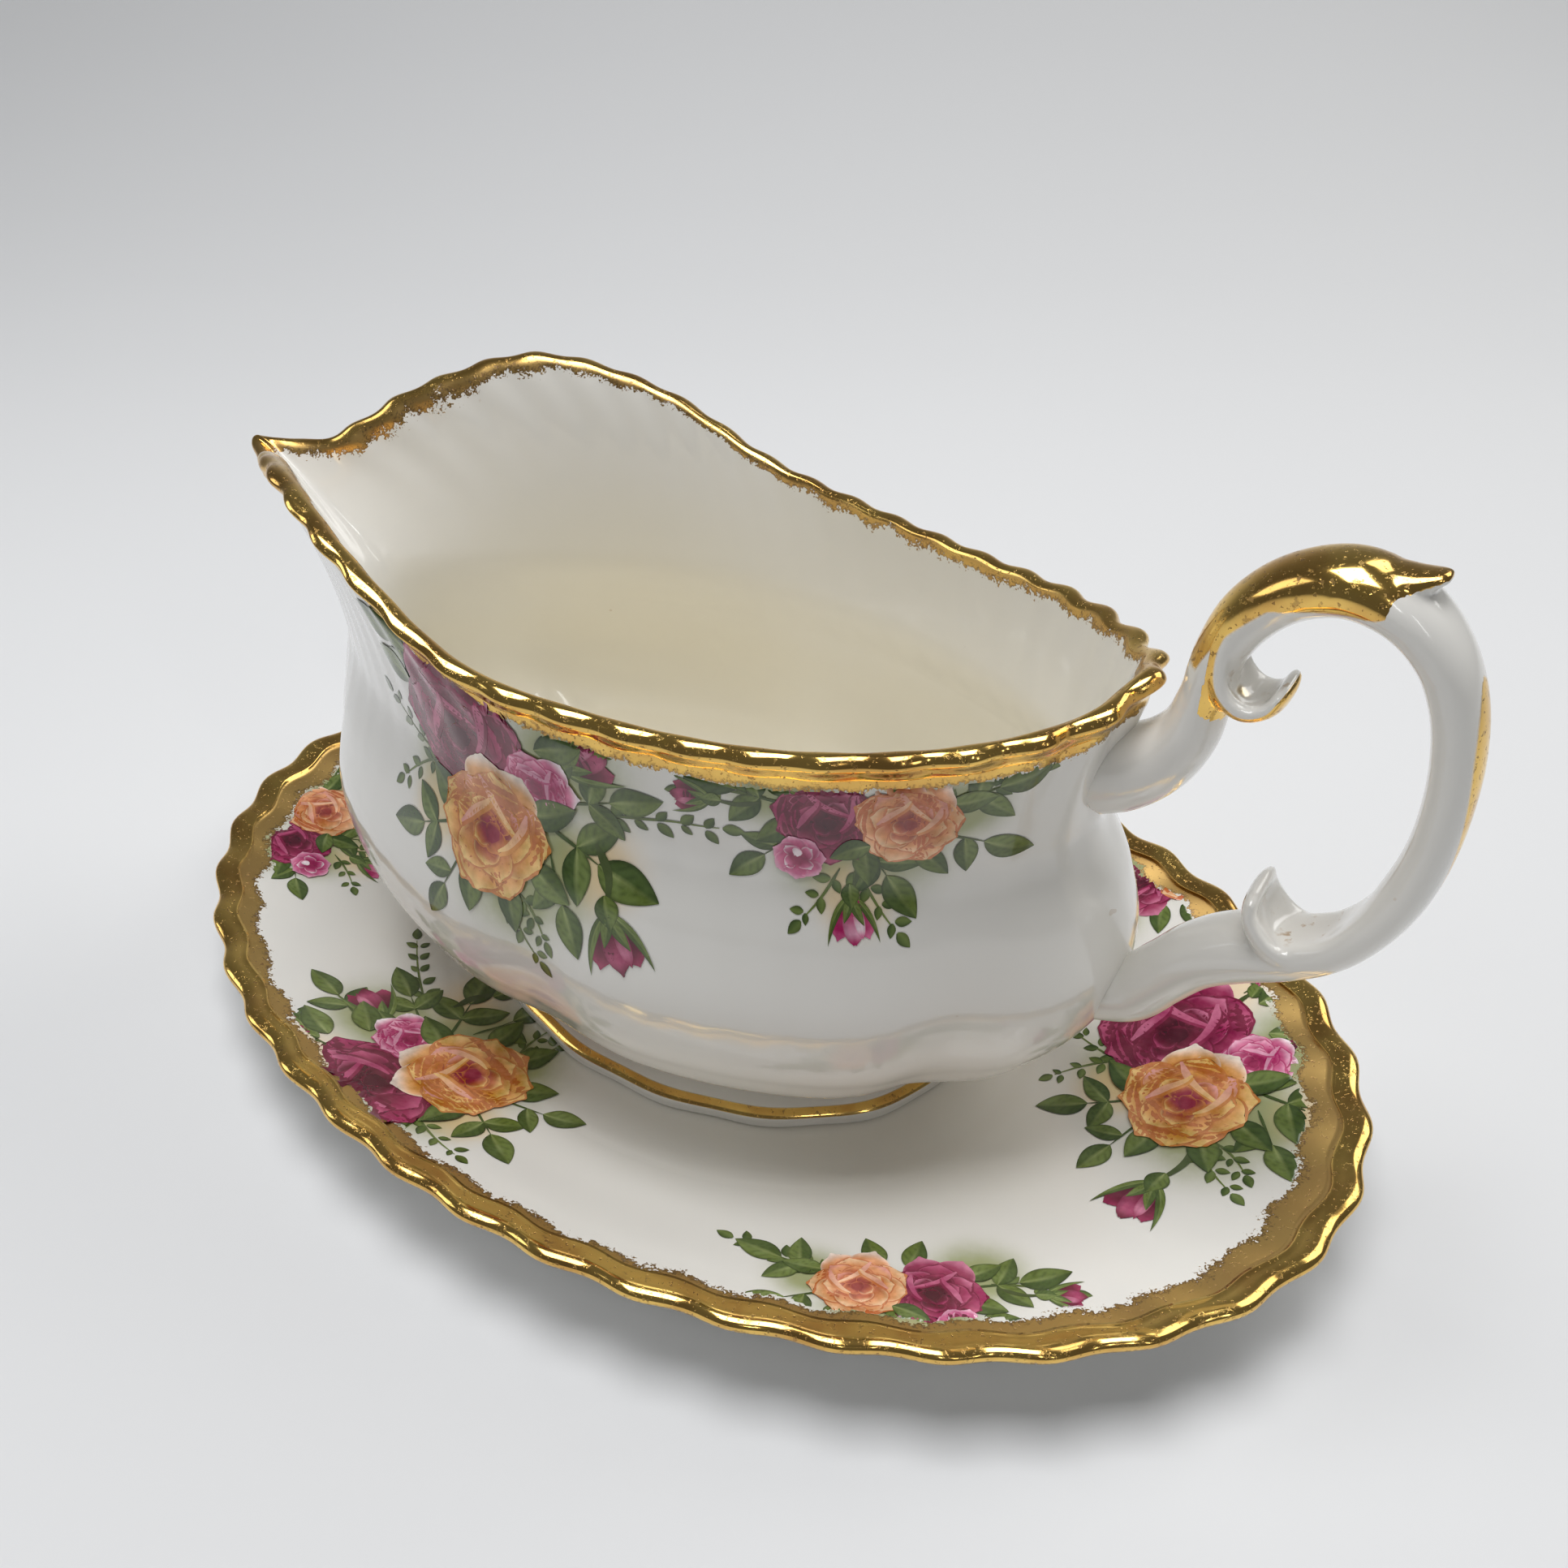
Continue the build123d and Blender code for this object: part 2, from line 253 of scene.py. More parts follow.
def rim_point(degrees):
    """x, y and height of the rim at angles between -180 and 180, and the turn of its wall."""
    before, after = RIM[1], RIM[-2]
    rows = [(-before[0], before[1], -before[2], *before[3:])] + RIM
    rows.append((360 - after[0], after[1], -after[2], *after[3:]))
    x, y, height, power = (through(rows, column, np.abs(degrees)) for column in (1, 2, 3, 4))
    return x, np.where(degrees < 0, -y, y), height, power


def belly_point(height, degrees):
    """Point of the rounded body at a height above the bowl's underside."""
    level = np.minimum(height, BELLY[-1][0])
    lowest, second = BELLY[0], BELLY[1]
    steep = [(second[c] - lowest[c]) / (second[0] - lowest[0]) for c in range(7)]
    back, front, width, widest, narrow, crease = (
        through(BELLY, column, level, (steep[column], 0.0)) for column in range(1, 7)
    )
    across, along = np.sin(np.radians(degrees)), np.cos(np.radians(degrees))
    reach = np.where(along > 0, back - widest, front + widest)
    taper = 1 - np.where(along > 0, 0.06, narrow) * along**2
    pinch = sum(np.exp(-(((np.abs(degrees) - place) / CREASE_SPREAD) ** 2)) for place in CREASE_ANGLES)
    drawn_in = 1 - crease * pinch
    return widest + reach * along * drawn_in, width * across * taper * drawn_in


def bowl_point(height, degrees):
    """Point of the bowl's outside at a height above its underside."""
    x, y = belly_point(height, degrees)
    rim_x, rim_y, rim_height, power = rim_point(degrees)
    under_x, under_y = belly_point(rim_height, degrees)
    rise = np.maximum(height - FLARE_START, 0.0) / (rim_height - FLARE_START)
    flare = np.where(rise < 1, rise**power, 1 + power * (1 - np.exp(1 - np.maximum(rise, 1))))
    return x + (rim_x - under_x) * flare, y + (rim_y - under_y) * np.minimum(flare, 1.0)


def even_rim_angles(columns):
    """Angles that space the columns evenly along the rim, starting at the spout's tip."""
    fine = np.linspace(-180, 180, 7201)
    x, y, height, _ = rim_point(fine)
    length = np.concatenate([[0], np.cumsum(np.sqrt(np.diff(x)**2 + np.diff(y)**2 + np.diff(height)**2))])
    return np.interp(np.arange(columns) / columns * length[-1], length, fine)


def bowl_rows(heights, angles, inset, ripple):
    """Rings of points: a height and inset for each row, with the rim's flutes on them."""
    angles = np.broadcast_to(angles, heights.shape)
    x, y = bowl_point(heights, angles)
    along_x = np.roll(x, -1, 1) - np.roll(x, 1, 1)
    along_y = np.roll(y, -1, 1) - np.roll(y, 1, 1)
    size = np.hypot(along_x, along_y)
    out_x, out_y = along_y / size, -along_x / size
    low_x, low_y = bowl_point(np.maximum(heights - 0.5, 0), angles)
    high_x, high_y = bowl_point(heights + 0.5, angles)
    lean = (high_x - low_x) * out_x + (high_y - low_y) * out_y
    move = inset * np.minimum(np.hypot(1, lean), STEEPEST)
    x = x - out_x * move
    aside = np.abs(out_y) * move
    y = np.sign(y) * (np.hypot(y, aside) - aside)
    x, y = x + out_x * ripple, y + out_y * ripple
    return np.stack([x, y, heights + BOWL_BASE], -1)


def bowl_skin():
    """All rings of the bowl from the middle of its underside over the rim to its floor."""
    angles = even_rim_angles(BOWL_COLUMNS)
    rim_height = rim_point(angles)[2]
    wave = np.cos(np.arange(BOWL_COLUMNS) / BOWL_COLUMNS * 2 * math.pi * BOAT_SCALLOPS)
    steady = soft(np.abs(np.abs(angles) - 180), 6, 30)
    depth_here = BOAT_SCALLOP_DEPTH + BOAT_BACK_SCALLOPS * (1 - soft(np.abs(angles), 12, 60))
    rim_height = rim_height + 0.5 * depth_here * wave * steady - 0.3
    radius = WALL / 2
    outside = np.concatenate([np.linspace(0, 0.3, 30)[:-1], np.linspace(0.3, 0.88, 72)[:-1],
                              np.linspace(0.88, 1, 30)])
    heights = [outside[:, None] * (rim_height - radius)]
    insets = [np.zeros((len(outside), 1))]
    turn = np.radians(np.linspace(0, 180, 17))[1:-1, None]
    heights.append(rim_height - radius * (1 - np.sin(turn)))
    insets.append(radius * (1 - np.cos(turn)))
    inside = np.concatenate([np.linspace(1, 0.25, 96)[:-1], np.linspace(0.25, 0, 34)])[:, None]
    heights.append(BOWL_FLOOR + inside * (rim_height - radius - BOWL_FLOOR))
    insets.append(np.full((len(inside), 1), WALL))
    heights, insets = np.concatenate(heights), np.concatenate(insets)
    depth = rim_height - heights
    outside_of = np.arange(len(heights))[:, None] < len(outside) + 8
    bead = BEAD * np.exp(-((depth - BEAD_DEPTH) / BEAD_HALF) ** 2) * outside_of
    groove = -0.4 * BEAD * np.exp(-((depth - BEAD_DEPTH - 2.3 * BEAD_HALF) / BEAD_HALF) ** 2) * outside_of
    ripple = (bead + groove) * (1 + 0.25 * wave)
    fluted = np.where(outside_of, 1.0, 0.45) * np.exp(-np.maximum(depth, 0) / BOAT_FLUTE_FADE)
    ripple = ripple + depth_here * wave * steady * fluted
    points = bowl_rows(heights, angles, insets, ripple)
    step = np.linalg.norm(np.diff(points, axis=0), axis=-1)
    top = len(outside) + 7
    travelled = np.concatenate([np.zeros((1, BOWL_COLUMNS)), np.cumsum(step, 0)])
    from_rim = travelled - travelled[top]
    longest = np.maximum(depth, 0) * 1.15 + 1.0
    from_rim = np.clip(from_rim, -longest, longest)
    return points, from_rim


def closing_rows(ring, middle, dip, rows):
    """Rings that close a ring towards its middle, dipping smoothly."""
    shares = np.linspace(1, 0.02, rows)[1:, None, None]
    inner = middle + (ring[None] - middle) * shares
    inner[..., 2] = ring[..., 2] - dip * (1 - shares[..., 0] ** 2)
    return inner


# ---- china, gold and print ------------------------------------------------------------------
CHINA_WHITE = linear(240, 238, 232)
# warm cream painted in as bounce light, more of it towards the bottom of a bowl
BOUNCE_LIGHT_CREAM = linear(244, 238, 220)
CHINA_STAIN = linear(176, 140, 92)
LEAF_WASH = linear(146, 154, 84)
PEACH_WASH = linear(246, 214, 160)
GOLD_BRIGHT = linear(240, 200, 112)
GOLD_DEEP = linear(212, 166, 92)
GOLD_MATTE = linear(210, 174, 112)
GOLD_FRINGE = linear(92, 66, 62)


def china(name, gold_width=None, gold_under=0.0, bounce_cream=0.0):
    """Glazed white china with a brushed gold edge: painted point values say where it lies.

    'rim' is the distance in millimetres from the crest of the rim, 'gilt' is above 0 on
    hand-painted gold, 'deep' grows from 0 to 1 towards the bottom of a bowl, where a warm
    cream is painted in as bounce light, and 'stain' is above 0 in the worn hollows.
    """
    s = Shader(name)
    cloud = s.noise(14.0, 3.0)
    fine = s.noise(900.0, 4.0)
    grain = s.noise(2600.0, 3.0)
    deep = s.painted("deep")
    # painted bounce light: the china turns creamier towards the bottom, unevenly through a cloud noise
    body = s.mix((deep + (cloud - 0.5) * 0.35) * bounce_cream, CHINA_WHITE, BOUNCE_LIGHT_CREAM)
    speck = s.noise(260.0, 1.0).ramp(0.80, 0.82) * 0.3
    body = s.mix(speck, body, CHINA_STAIN)
    cloudy = 0.55 + 0.9 * s.noise(110.0, 4.0, 0.6)
    body = s.mix((s.painted("leafwash") * cloudy).ramp(0.06, 0.85) * 0.85, body, LEAF_WASH)
    body = s.mix((s.painted("blush") * cloudy).ramp(0.15, 1.05) * 0.7, body, PEACH_WASH)
    stain = s.painted("stain") * (0.1 + 0.9 * s.noise(420.0, 5.0, 0.6).ramp(0.57, 0.67))
    body = s.mix(stain * 0.75, body, CHINA_STAIN)

    rim = s.painted("rim")
    ragged = (s.noise(230.0, 2.0) - 0.5) * 3.2 + (fine - 0.5) * 3.6 + (grain - 0.5) * 3.4
    inner = gold_width if gold_width is not None else -50.0
    brushed = 1.0 - (rim + ragged).ramp(inner - 0.12, inner + 0.12)
    below = (rim - ragged * 0.6).ramp(gold_under - 0.12, gold_under + 0.12)
    fringe = (rim + ragged).ramp(inner - 1.1, inner - 0.1)
    fringe = fringe.at_least(1.0 - (rim - ragged * 0.6).ramp(gold_under + 0.1, gold_under + 0.9))
    painted = s.painted("gilt").ramp(-0.06, 0.06)
    band = brushed * below if gold_width is not None else 0.0 * brushed
    gold = band.at_least(painted)
    matte = (rim + (cloud - 0.5) * 0.8).ramp(inner * 0.36, inner * 0.36 + 1.0) * band
    tone = s.mix(s.noise(120.0, 3.0).ramp(0.35, 0.7), GOLD_BRIGHT, GOLD_DEEP)
    tone = s.mix(matte * 0.7, tone, GOLD_MATTE)
    tone = s.mix(fringe * band * 0.6, tone, GOLD_FRINGE)
    pits = s.noise(1500.0, 2.0).ramp(0.64, 0.68)
    scratch = s.noise(700.0, 5.0, 0.75).ramp(0.60, 0.64) * (1.0 - matte)
    tone = s.mix((pits * 0.5).at_least(scratch * 0.4), tone, GOLD_FRINGE)

    colour = s.mix(gold, body, tone)
    smear = s.noise(60.0, 4.0)
    china_rough = 0.16 + (smear - 0.5) * 0.1 + speck * 0.3
    gold_rough = 0.13 + matte * 0.24 + pits * 0.2 + (smear - 0.5) * 0.08
    rough = china_rough * (1.0 - gold) + gold_rough * gold
    waviness = s.noise(38.0, 2.0)
    pitted = (pits + scratch * 0.4) * gold
    edge = gold * 0.5
    bump = s.bump(waviness, 0.0012, 0.22)
    bump = s.node("ShaderNodeBump", {}, Height=edge - pitted * 0.5, Distance=0.00006, Strength=0.7,
                  Normal=bump)
    return s.finish(Base_Color=colour, Roughness=rough, Metallic=gold,
                    Coat_Weight=0.6 * (1.0 - gold), Coat_Roughness=0.04, IOR=1.52, Normal=bump)


# ---- pieces ---------------------------------------------------------------------------------
def make_bowl():
    points, from_rim = bowl_skin()
    under = closing_rows(points[0], np.array([BOWL_MIDDLE_X, 0.0, BOWL_BASE]), 0.0, 8)[::-1]
    floor = closing_rows(points[-1], np.array([BOWL_MIDDLE_X, 0.0, BOWL_BASE + BOWL_FLOOR]), 0.9, 22)
    floor_steps = np.linalg.norm(np.diff(np.concatenate([points[-1:], floor]), axis=0), axis=-1)
    grid = np.concatenate([under, points, floor])
    rim = np.concatenate([np.full(under.shape[:2], -90.0), from_rim,
                          from_rim[-1] + np.cumsum(floor_steps, 0)])
    first = list(range(BOWL_COLUMNS))
    last = [(len(grid) - 1) * BOWL_COLUMNS + i for i in first]
    flat = grid.reshape(-1, 3)
    # how much warm cream is painted in as bounce light, from 12 mm inside the rim down to the floor
    deep = soft(rim, 12, 75) * (rim > 0)
    faces = grid_faces(len(grid), BOWL_COLUMNS) + [first[::-1], last]
    return mesh_object("boat_bowl_china", flat, faces, china_materials["bowl"],
                       {"rim": rim.ravel(), "deep": deep.ravel(), "gilt": np.full(len(flat), -1.0),
                        "stain": np.zeros(len(flat))})


def oval_grid(rows, centre_x, angles):
    """Rings of points: each row is half length, half width and height at every angle."""
    a, b, z = (np.asarray(value) for value in rows)
    return np.stack([centre_x + a * np.cos(angles), b * np.sin(angles), z + 0 * a], -1)


def even_oval_angles(half_length, half_width, columns):
    fine = np.linspace(0, 2 * math.pi, 7201)
    step = np.hypot(half_length * np.sin(fine), half_width * np.cos(fine))
    length = np.concatenate([[0], np.cumsum((step[1:] + step[:-1]) / 2)]) * (fine[1] - fine[0])
    return np.interp(np.arange(columns) / columns * length[-1], length, fine)


STAND_SCALLOPS = 40
STAND_SCALLOP_DEPTH, STAND_SCALLOP_LIFT = 0.55, 0.3
STAND_THICKNESS = 3.6
WELL_MARGIN, WELL_STEP, WELL_RISE = 5.5, 6.0, 0.8
STAND_RING_INSET = 5.0      # the ring below lies this far inside the boat's foot
STAND_RING_INSIDE = 5.5     # and it is this wide where it meets the underside
STAND_SLOPE = [(0.0, 0.0), (0.35, 0.25), (0.7, 0.68), (0.88, 0.9), (1.0, 1.0)]
# The rolled edge, from its inner side over the top to the underside: out, up.
ROLL = [(-3.4, 0.0), (-2.9, 0.03), (-2.45, 0.1), (-2.0, 0.24), (-1.5, 0.42), (-1.0, 0.55), (-0.5, 0.62),
        (0.0, 0.6), (0.45, 0.5), (0.8, 0.32), (1.05, 0.08), (1.15, -0.35), (1.1, -0.8), (0.9, -1.2),
        (0.55, -1.5), (0.0, -1.75), (-0.8, -1.95), (-1.8, -2.15)]
ROLL_CREST, ROLL_WIDEST = 6, 11      # rows of the roll
SLOPE_END = 0.935                    # share of the slope where the roll starts


def make_stand():
    per_scallop = 12
    columns = STAND_SCALLOPS * per_scallop
    out = ROLL[ROLL_WIDEST][0]
    edge_a = STAND_HALF_LENGTH - out - STAND_SCALLOP_DEPTH
    edge_b = STAND_HALF_WIDTH - out - STAND_SCALLOP_DEPTH
    edge_z = STAND_RIM_HEIGHT - 1.0
    angles = even_oval_angles(edge_a, edge_b, columns)
    phase = np.arange(columns) / per_scallop * 2 * math.pi
    well_a, well_b = FOOT_HALF_LENGTH + WELL_MARGIN, FOOT_HALF_WIDTH + WELL_MARGIN
    first_a, first_b = well_a + WELL_STEP, well_b + WELL_STEP
    first_z = WELL_FLOOR + WELL_RISE
    a, b, z, flute = [], [], [], []

    def ring(half_length, half_width, height, wave):
        a.append(half_length)
        b.append(half_width)
        z.append(height)
        flute.append(wave)

    for share in np.linspace(0.02, 1, 16):
        ring(well_a * share, well_b * share, WELL_FLOOR, 0)
    for share in np.linspace(0, 1, 9)[1:]:
        step = WELL_STEP * share
        ring(well_a + step, well_b + step, WELL_FLOOR + WELL_RISE * soft(share, 0, 1), 0)
    for share in np.linspace(0, SLOPE_END, 46)[1:]:
        rise = through(STAND_SLOPE, 1, share)
        ring(first_a + (edge_a - first_a) * share, first_b + (edge_b - first_b) * share,
             first_z + (edge_z - first_z) * rise, soft(share, 0.38, 0.93))
    first_roll = len(a)
    for move, up in ROLL:
        ring(edge_a + move, edge_b + move, edge_z + up, 1)
    for share in np.linspace(SLOPE_END, 0, 24)[1:]:
        rise = through(STAND_SLOPE, 1, share)
        drop = STAND_THICKNESS - 1.3 * soft(share, 0.3, 1)
        ring(first_a + (edge_a - first_a) * share, first_b + (edge_b - first_b) * share,
             first_z + (edge_z - first_z) * rise - drop, soft(share, 0.55, 0.95) * 0.8)
    under = WELL_FLOOR - STAND_THICKNESS
    ring(well_a + 3, well_b + 3, under + 0.25, 0)
    ring(well_a, well_b, under, 0)
    foot_a, foot_b = FOOT_HALF_LENGTH - STAND_RING_INSET, FOOT_HALF_WIDTH - STAND_RING_INSET
    for move, height in [(2.4, under), (1.5, under - 0.12), (1.1, under - 0.5), (0.6, 0.5), (0.35, 0.15),
                         (0.0, 0.0), (-0.6, 0.0), (-3.9, 0.0), (-4.3, 0.15), (-4.5, 0.5),
                         (-4.6, under - 0.4), (-4.9, under - 0.08), (-STAND_RING_INSIDE, under)]:
        ring(foot_a + move, foot_b + move, height, 0)
    for share in np.linspace(1, 0.03, 10)[1:]:
        ring((foot_a - STAND_RING_INSIDE) * share, (foot_b - STAND_RING_INSIDE) * share, under, 0)

    a, b, z, flute = (np.array(values, float)[:, None] for values in (a, b, z, flute))
    slant = np.zeros_like(a)
    slant[first_roll:first_roll + len(ROLL), 0] = np.linspace(-0.5, 0.6, len(ROLL))
    wave = np.cos(phase - slant)
    move = STAND_SCALLOP_DEPTH * wave * flute
    lift = STAND_SCALLOP_LIFT * wave * flute
    angles = np.broadcast_to(angles, (len(a), columns))
    points = oval_grid((a + move, b + move, z + lift * (z > 1)), 0.0, angles)
    step = np.linalg.norm(np.diff(points, axis=0), axis=-1)
    travelled = np.concatenate([np.zeros((1, columns)), np.cumsum(step, 0)])
    rim = travelled[first_roll + ROLL_CREST] - travelled
    flat = points.reshape(-1, 3)
    faces = grid_faces(len(points), columns)
    start = len(flat) - columns
    caps = [list(range(columns)), [start + i for i in range(columns)][::-1]]
    # 'deep' grows towards the middle of the well, where warm cream is painted in as bounce light
    return mesh_object("stand_china", flat, [face[::-1] for face in faces] + caps, china_materials["stand"],
                       {"rim": rim.ravel(), "deep": soft(rim, 20, 60).ravel(),
                        "gilt": np.full(len(flat), -1.0), "stain": np.zeros(len(flat))})


# Each row: height above the well floor and how far in from the foot's outline.
FOOT_OUTSIDE = [(0.0, 0.55), (0.25, 0.2), (0.6, 0.03), (1.2, 0.0), (1.9, 0.05), (2.4, 0.3), (2.75, 0.75),
                (3.1, 1.5), (3.7, 2.7), (4.5, 4.1), (5.5, 5.6), (6.6, 7.0), (7.6, 8.0), (8.6, 8.8),
                (9.6, 9.4)]
FOOT_TOP, FOOT_TOP_INSET = FOOT_OUTSIDE[-1]
FOOT_WAVES, FOOT_WAVE_DEPTH = 14, 0.3
FOOT_LINE_HEIGHT, FOOT_LINE_HALF = 2.75, 0.5      # the gold line round it
FOOT_WALL = 4.0


def make_foot():
    per_wave = 24
    columns = FOOT_WAVES * per_wave
    angles = even_oval_angles(FOOT_HALF_LENGTH, FOOT_HALF_WIDTH, columns)
    wave = np.cos(np.arange(columns) / per_wave * 2 * math.pi)
    fine = np.linspace(0, FOOT_TOP, 60)
    insets = through(FOOT_OUTSIDE, 1, fine)
    rows = [(0.0, FOOT_WALL - 0.4), (0.0, 1.0)] + list(zip(fine, insets))
    rows += [(FOOT_TOP, FOOT_TOP_INSET + FOOT_WALL), (5.0, 4.9 + FOOT_WALL), (2.0, FOOT_WALL + 0.3),
             (0.3, FOOT_WALL)]
    height = np.array([row[0] for row in rows])[:, None]
    inset = np.array([row[1] for row in rows])[:, None]
    ripple = FOOT_WAVE_DEPTH * (wave - 1) * np.exp(-height / 5) * (inset < FOOT_TOP_INSET + 0.1)
    z = WELL_FLOOR + height
    sizes = (FOOT_HALF_LENGTH - inset + ripple, FOOT_HALF_WIDTH - inset + ripple, z + 0 * wave)
    points = oval_grid(sizes, FOOT_CENTRE_X, np.broadcast_to(angles, (len(rows), columns)))
    outside = (np.arange(len(rows)) >= 1) & (np.arange(len(rows)) < 2 + len(fine))
    line = FOOT_LINE_HALF - np.abs(height - FOOT_LINE_HEIGHT)
    gilt = np.where(outside[:, None], line, -1.0) + 0 * wave
    flat = points.reshape(-1, 3)
    faces = grid_faces(len(rows), columns, ring=True)
    return mesh_object("boat_foot_china", flat, faces, china_materials["foot"],
                       {"rim": np.full(len(flat), 90.0), "deep": np.zeros(len(flat)), "gilt": gilt.ravel(),
                        "stain": np.zeros(len(flat))})


# ---- the handle -----------------------------------------------------------------------------
# Each row: x, height above the bowl's underside, half thickness in the loop's plane, half
# width across it, how hollow the side facing the finger is.
LOOP = [
    (61.0, 62.8, 6.7, 6.2, 0.0), (64.8, 64.6, 6.3, 6.2, 0.0), (68.8, 67.5, 5.4, 5.9, 0.0),
    (72.6, 73.1, 4.2, 5.6, 0.0), (74.0, 79.5, 3.4, 5.2, 0.0), (74.8, 86.0, 3.3, 5.0, 0.0),
    (77.4, 92.3, 3.8, 5.0, 0.0), (82.2, 97.3, 4.0, 5.4, 0.0), (88.6, 99.7, 4.0, 6.0, 0.0),
    (95.0, 98.1, 3.6, 6.0, 0.0), (99.8, 93.9, 3.3, 5.6, 0.0), (103.0, 87.9, 3.2, 5.2, 0.0),
    (104.7, 81.0, 3.1, 5.0, 0.0), (105.3, 73.8, 3.0, 4.9, 0.0), (105.0, 66.5, 3.0, 4.8, 0.0),
    (103.7, 59.7, 3.1, 4.9, 0.0), (101.0, 53.5, 3.4, 5.1, 0.3), (97.2, 48.5, 3.9, 5.4, 0.6),
    (92.0, 44.9, 4.5, 5.7, 0.4), (85.8, 41.7, 4.9, 5.8, 0.0), (80.2, 37.5, 4.8, 5.7, 0.0),
    (76.0, 32.1, 4.7, 5.7, 0.0), (71.8, 26.9, 5.0, 6.0, 0.0), (66.5, 25.0, 5.5, 6.3, 0.0),
]
CURL = [
    (79.6, 95.0, 2.9, 4.4, 0.2), (77.0, 92.0, 3.0, 4.8, 0.6), (75.9, 87.1, 2.9, 5.3, 1.0),
    (77.0, 82.9, 2.7, 5.5, 1.15), (79.8, 80.9, 2.3, 5.4, 1.1), (82.4, 81.7, 1.7, 4.9, 0.8),
    (83.8, 84.0, 1.2, 4.6, 0.3),
]
THUMB_REST = [
    (88.5, 98.8, 3.4, 5.0, 0.0), (91.8, 100.7, 2.6, 4.3, 0.0), (95.2, 101.9, 1.6, 3.2, 0.0),
    (98.0, 103.2, 0.75, 1.9, 0.0),
]
LOWER_SCROLL = [
    (95.5, 46.6, 3.6, 5.3, 0.8), (91.6, 46.2, 3.3, 5.9, 1.1), (88.4, 48.2, 2.6, 6.1, 1.1),
    (86.6, 51.0, 1.9, 5.9, 0.9), (86.3, 53.0, 1.3, 5.2, 0.3),
]
HANDLE_VOXEL = 0.42
BOWL_END_WIDTH = 50      # twice the radius of the bowl's curve at the handle
ROOTS_END = 70           # only what is nearer than this x belongs to the roots


def path_samples(rows, per_span=10):
    """Points, outward normals and half sizes along a smooth path through the rows."""
    knots = np.array(rows, float)
    away = np.hypot(*np.diff(knots[:, :2], axis=0).T)
    along = np.concatenate([[0], np.cumsum(away)])
    spans = [np.linspace(start, end, per_span, endpoint=False) for start, end in zip(along, along[1:])]
    at = np.concatenate(spans + [along[-1:]])
    table = [(along[i], *knots[i]) for i in range(len(along))]
    values = np.stack([through(table, column, at) for column in range(1, 6)], -1)
    heading = np.gradient(values[:, :2], axis=0)
    heading /= np.linalg.norm(heading, axis=1, keepdims=True)
    left = np.stack([-heading[:, 1], heading[:, 0]], -1)
    return at, values, left


def tube(rows, hollow_side, around=40):
    """Closed tube with an elliptical section that is hollow on one side (1 left, -1 right)."""
    _, values, left = path_samples(rows)
    turn = np.arange(around) / around * 2 * math.pi
    out, aside = np.cos(turn), np.sin(turn)
    hollow = np.where(out * hollow_side > 0, 1 - values[:, 4:5] * out**2, 1.0)
    reach = values[:, 2:3] * out * hollow
    x = values[:, 0:1] + left[:, 0:1] * reach
    z = values[:, 1:2] + left[:, 1:2] * reach
    y = values[:, 3:4] * aside + 0 * x
    rings = np.stack([x, y, BOWL_BASE + z], -1)
    head = rings[0].mean(0) + (rings[0] - rings[0].mean(0)) * 0.55
    tail = rings[-1].mean(0) + (rings[-1] - rings[-1].mean(0)) * 0.55
    step = np.array([values[-1, 0] - values[-2, 0], 0, values[-1, 1] - values[-2, 1]])
    step /= np.linalg.norm(step)
    tail = tail + step * values[-1, 2] * 0.7
    rings = np.concatenate([head[None], rings, tail[None]])
    count = len(rings) * around
    faces = grid_faces(len(rings), around)
    caps = [list(range(around))[::-1], [count - around + i for i in range(around)]]
    return rings.reshape(-1, 3), faces + caps


